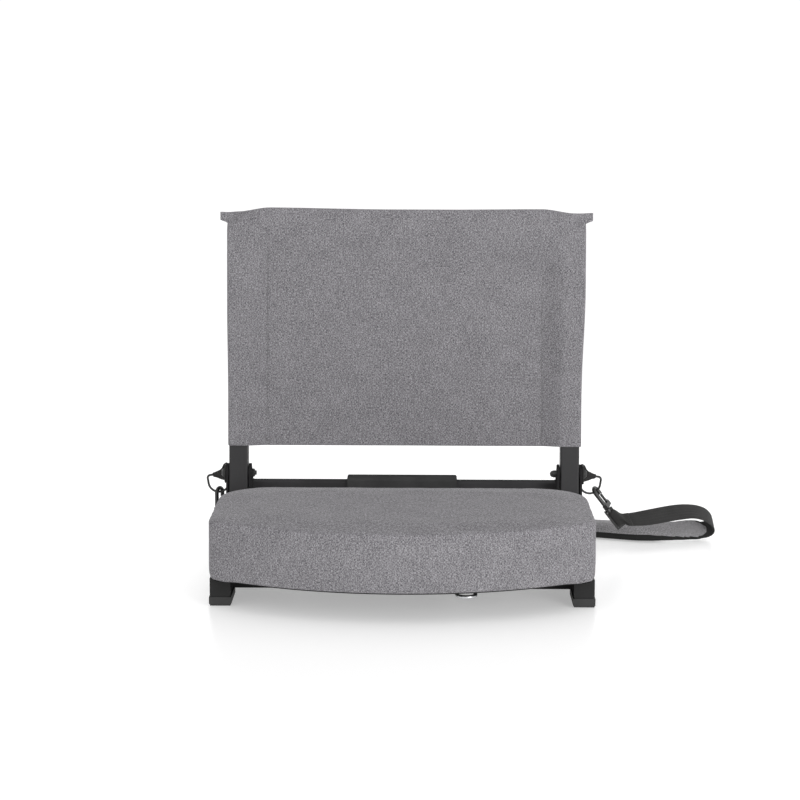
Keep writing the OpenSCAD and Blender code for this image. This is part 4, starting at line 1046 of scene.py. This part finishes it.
def make_tab(label):
    mesh = nodes[f"ring_tab_{label}"].data.copy()
    mesh.name = f"tab_{label}"
    obj = add(f"tab_{label}", mesh)
    mod = obj.modifiers.new("remesh", "REMESH")
    mod.mode = "VOXEL"
    mod.voxel_size = 0.55 * MM
    shown = obj.evaluated_get(bpy.context.evaluated_depsgraph_get())
    final = bpy.data.meshes.new_from_object(shown)
    obj.modifiers.remove(mod)
    obj.data = final
    final.materials.clear()
    bm = bmesh.new()
    bm.from_mesh(final)
    for _ in range(3):
        bmesh.ops.smooth_vert(bm, verts=bm.verts, factor=0.5,
                              use_axis_x=True, use_axis_y=True, use_axis_z=True)
    bm.to_mesh(final)
    bm.free()
    co = coords(obj)
    mm = co / MM
    normals = np.array([v.normal for v in final.vertices])
    reach = np.abs(mm[:, 0])
    cad_half = np.interp(reach, (TAB_X[0], TAB_X[-1]), (TAB_HALF[0], TAB_HALF[-1]))
    want_half = np.interp(reach, TAB_X, TAB_HALF)
    cad_middle = np.interp(reach, (TAB_X[0], TAB_X[-1]), (TAB_MIDDLE[0], TAB_MIDDLE[-1]))
    middle = np.interp(reach, TAB_X, TAB_MIDDLE)
    mm[:, 2] = middle + (mm[:, 2] - cad_middle) * want_half / cad_half
    pleat = np.sin((mm[:, 2] - middle) / want_half * 8.0) * 0.45
    pleat = pleat * smoothstep(reach, 244.5, 247) * smoothstep(reach, 260, 257)
    put_coords(obj, (mm + normals * pleat[:, None]) * MM)
    final.shade_smooth()
    finish_piece(obj, [tab_look], "base")
    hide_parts(f"ring_tab_{label}")


make_tab("left")
make_tab("right")


# Dust cover under the seat: thin black cloth, stapled along its edge and slightly slack between the bars

DUST_LOW, DUST_HIGH = 36.46, 37.12
# Front edges of the two cross bars that the dust cover lies on
BAR_FRONTS = (RAIL_Y + 45, RAIL_Y + 147)


def make_dust_cover():
    plan = plan_grid()[::2, ::2]
    flat = UNDER_CENTRE + (plan - UNDER_CENTRE) * 0.985
    loop = rim_of(plan)
    inset = inset_of(flat.reshape(-1, 2), loop).reshape(flat.shape[:2])
    y = flat[..., 1]
    bars = np.zeros_like(y)
    for bar in BAR_FRONTS:
        before, behind = smoothstep(y, bar - 14, bar - 3), smoothstep(y, bar + TUBE + 3, bar + TUBE + 14)
        bars = np.maximum(bars, before * (1 - behind))
    rails = smoothstep(np.abs(flat[..., 0]), 196, 208)
    slack = (1 - np.maximum(bars, rails)) * smoothstep(inset, 14, 40)
    co = np.dstack([flat, np.zeros(flat.shape[:2])]).reshape(-1, 3)
    waves = (ripple(co, 0.02, 8) * 0.9 + ripple(co, 0.05, 9) * 0.35).reshape(flat.shape[:2])
    drop = corner_drop(flat[..., 0], flat[..., 1])
    bottom = np.dstack([flat, DUST_LOW - slack * (1.4 + waves) - drop])
    top = np.dstack([flat, DUST_HIGH - drop - slack * (1.2 + waves)])
    rim = np.array([rim_of(top), rim_of(bottom)])
    far = np.linspace(0, 1.4, rim.shape[1] + 1)
    rim_uv = np.array([[(f, v) for f in far] for v in (0, 0.001)])
    parts = [
        grid(top, flat * MM),
        grid(bottom, flat * MM, flip=True),
        grid(rim, rim_uv, wrap=True, flip=True),
    ]
    dust = weld("dust_sheet", parts)
    finish_piece(dust, [LOOKS["black_cloth"]], "base")
    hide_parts("dust_cover")


make_dust_cover()


# Floor, light and backdrop

def make_stage():
    n = Nodes("floor")
    # The floor glows a little, though it is no lamp: painted light that keeps the shadow under the seat pale
    n.set(color=grey(0.68), rough=0.3, shine=0.05, glow=(1, 1, 1, 1), glow_strength=0.36)
    mesh = bpy.data.meshes.new("floor")
    reach, level = 9.0, -0.0004
    corners = [(-reach, -reach, level), (reach, -reach, level), (reach, reach, level), (-reach, reach, level)]
    mesh.from_pydata(corners, [], [(0, 1, 2, 3)])
    floor = add("floor", mesh)
    mesh.materials.append(n.mat)
    world = bpy.data.worlds.new("studio")
    bpy.context.scene.world = world
    world.use_nodes = True
    t = world.node_tree
    back = t.nodes["Background"]
    # The backdrop is white in the picture, and lights the object a little less
    on_object, in_view = 0.93, 1.05
    path = t.nodes.new("ShaderNodeLightPath")
    pick = t.nodes.new("ShaderNodeMix")
    pick.inputs[2].default_value, pick.inputs[3].default_value = on_object, in_view
    t.links.new(path.outputs["Is Camera Ray"], pick.inputs[0])
    t.links.new(pick.outputs[0], back.inputs["Strength"])
    back.inputs["Color"].default_value = (1, 1, 1, 1)


def lamp(name, at, target, size, power, tall=None):
    data = bpy.data.lights.new(name, "AREA")
    data.shape = "RECTANGLE"
    data.size, data.size_y = size, tall or size
    data.energy = power
    obj = bpy.data.objects.new(name, data)
    bpy.context.scene.collection.objects.link(obj)
    obj.location = at
    aim = Vector(target) - Vector(at)
    obj.rotation_euler = aim.to_track_quat("-Z", "Y").to_euler()


make_stage()
lamp("key_right", (1.9, -2.6, 0.8), (0, 0, 0.2), 1.4, 40)
lamp("behind", (0, 1.6, 0.4), (0, 0.06, 0.11), 1.6, 4, 0.5)
bpy.context.scene.view_settings.view_transform = "Standard"
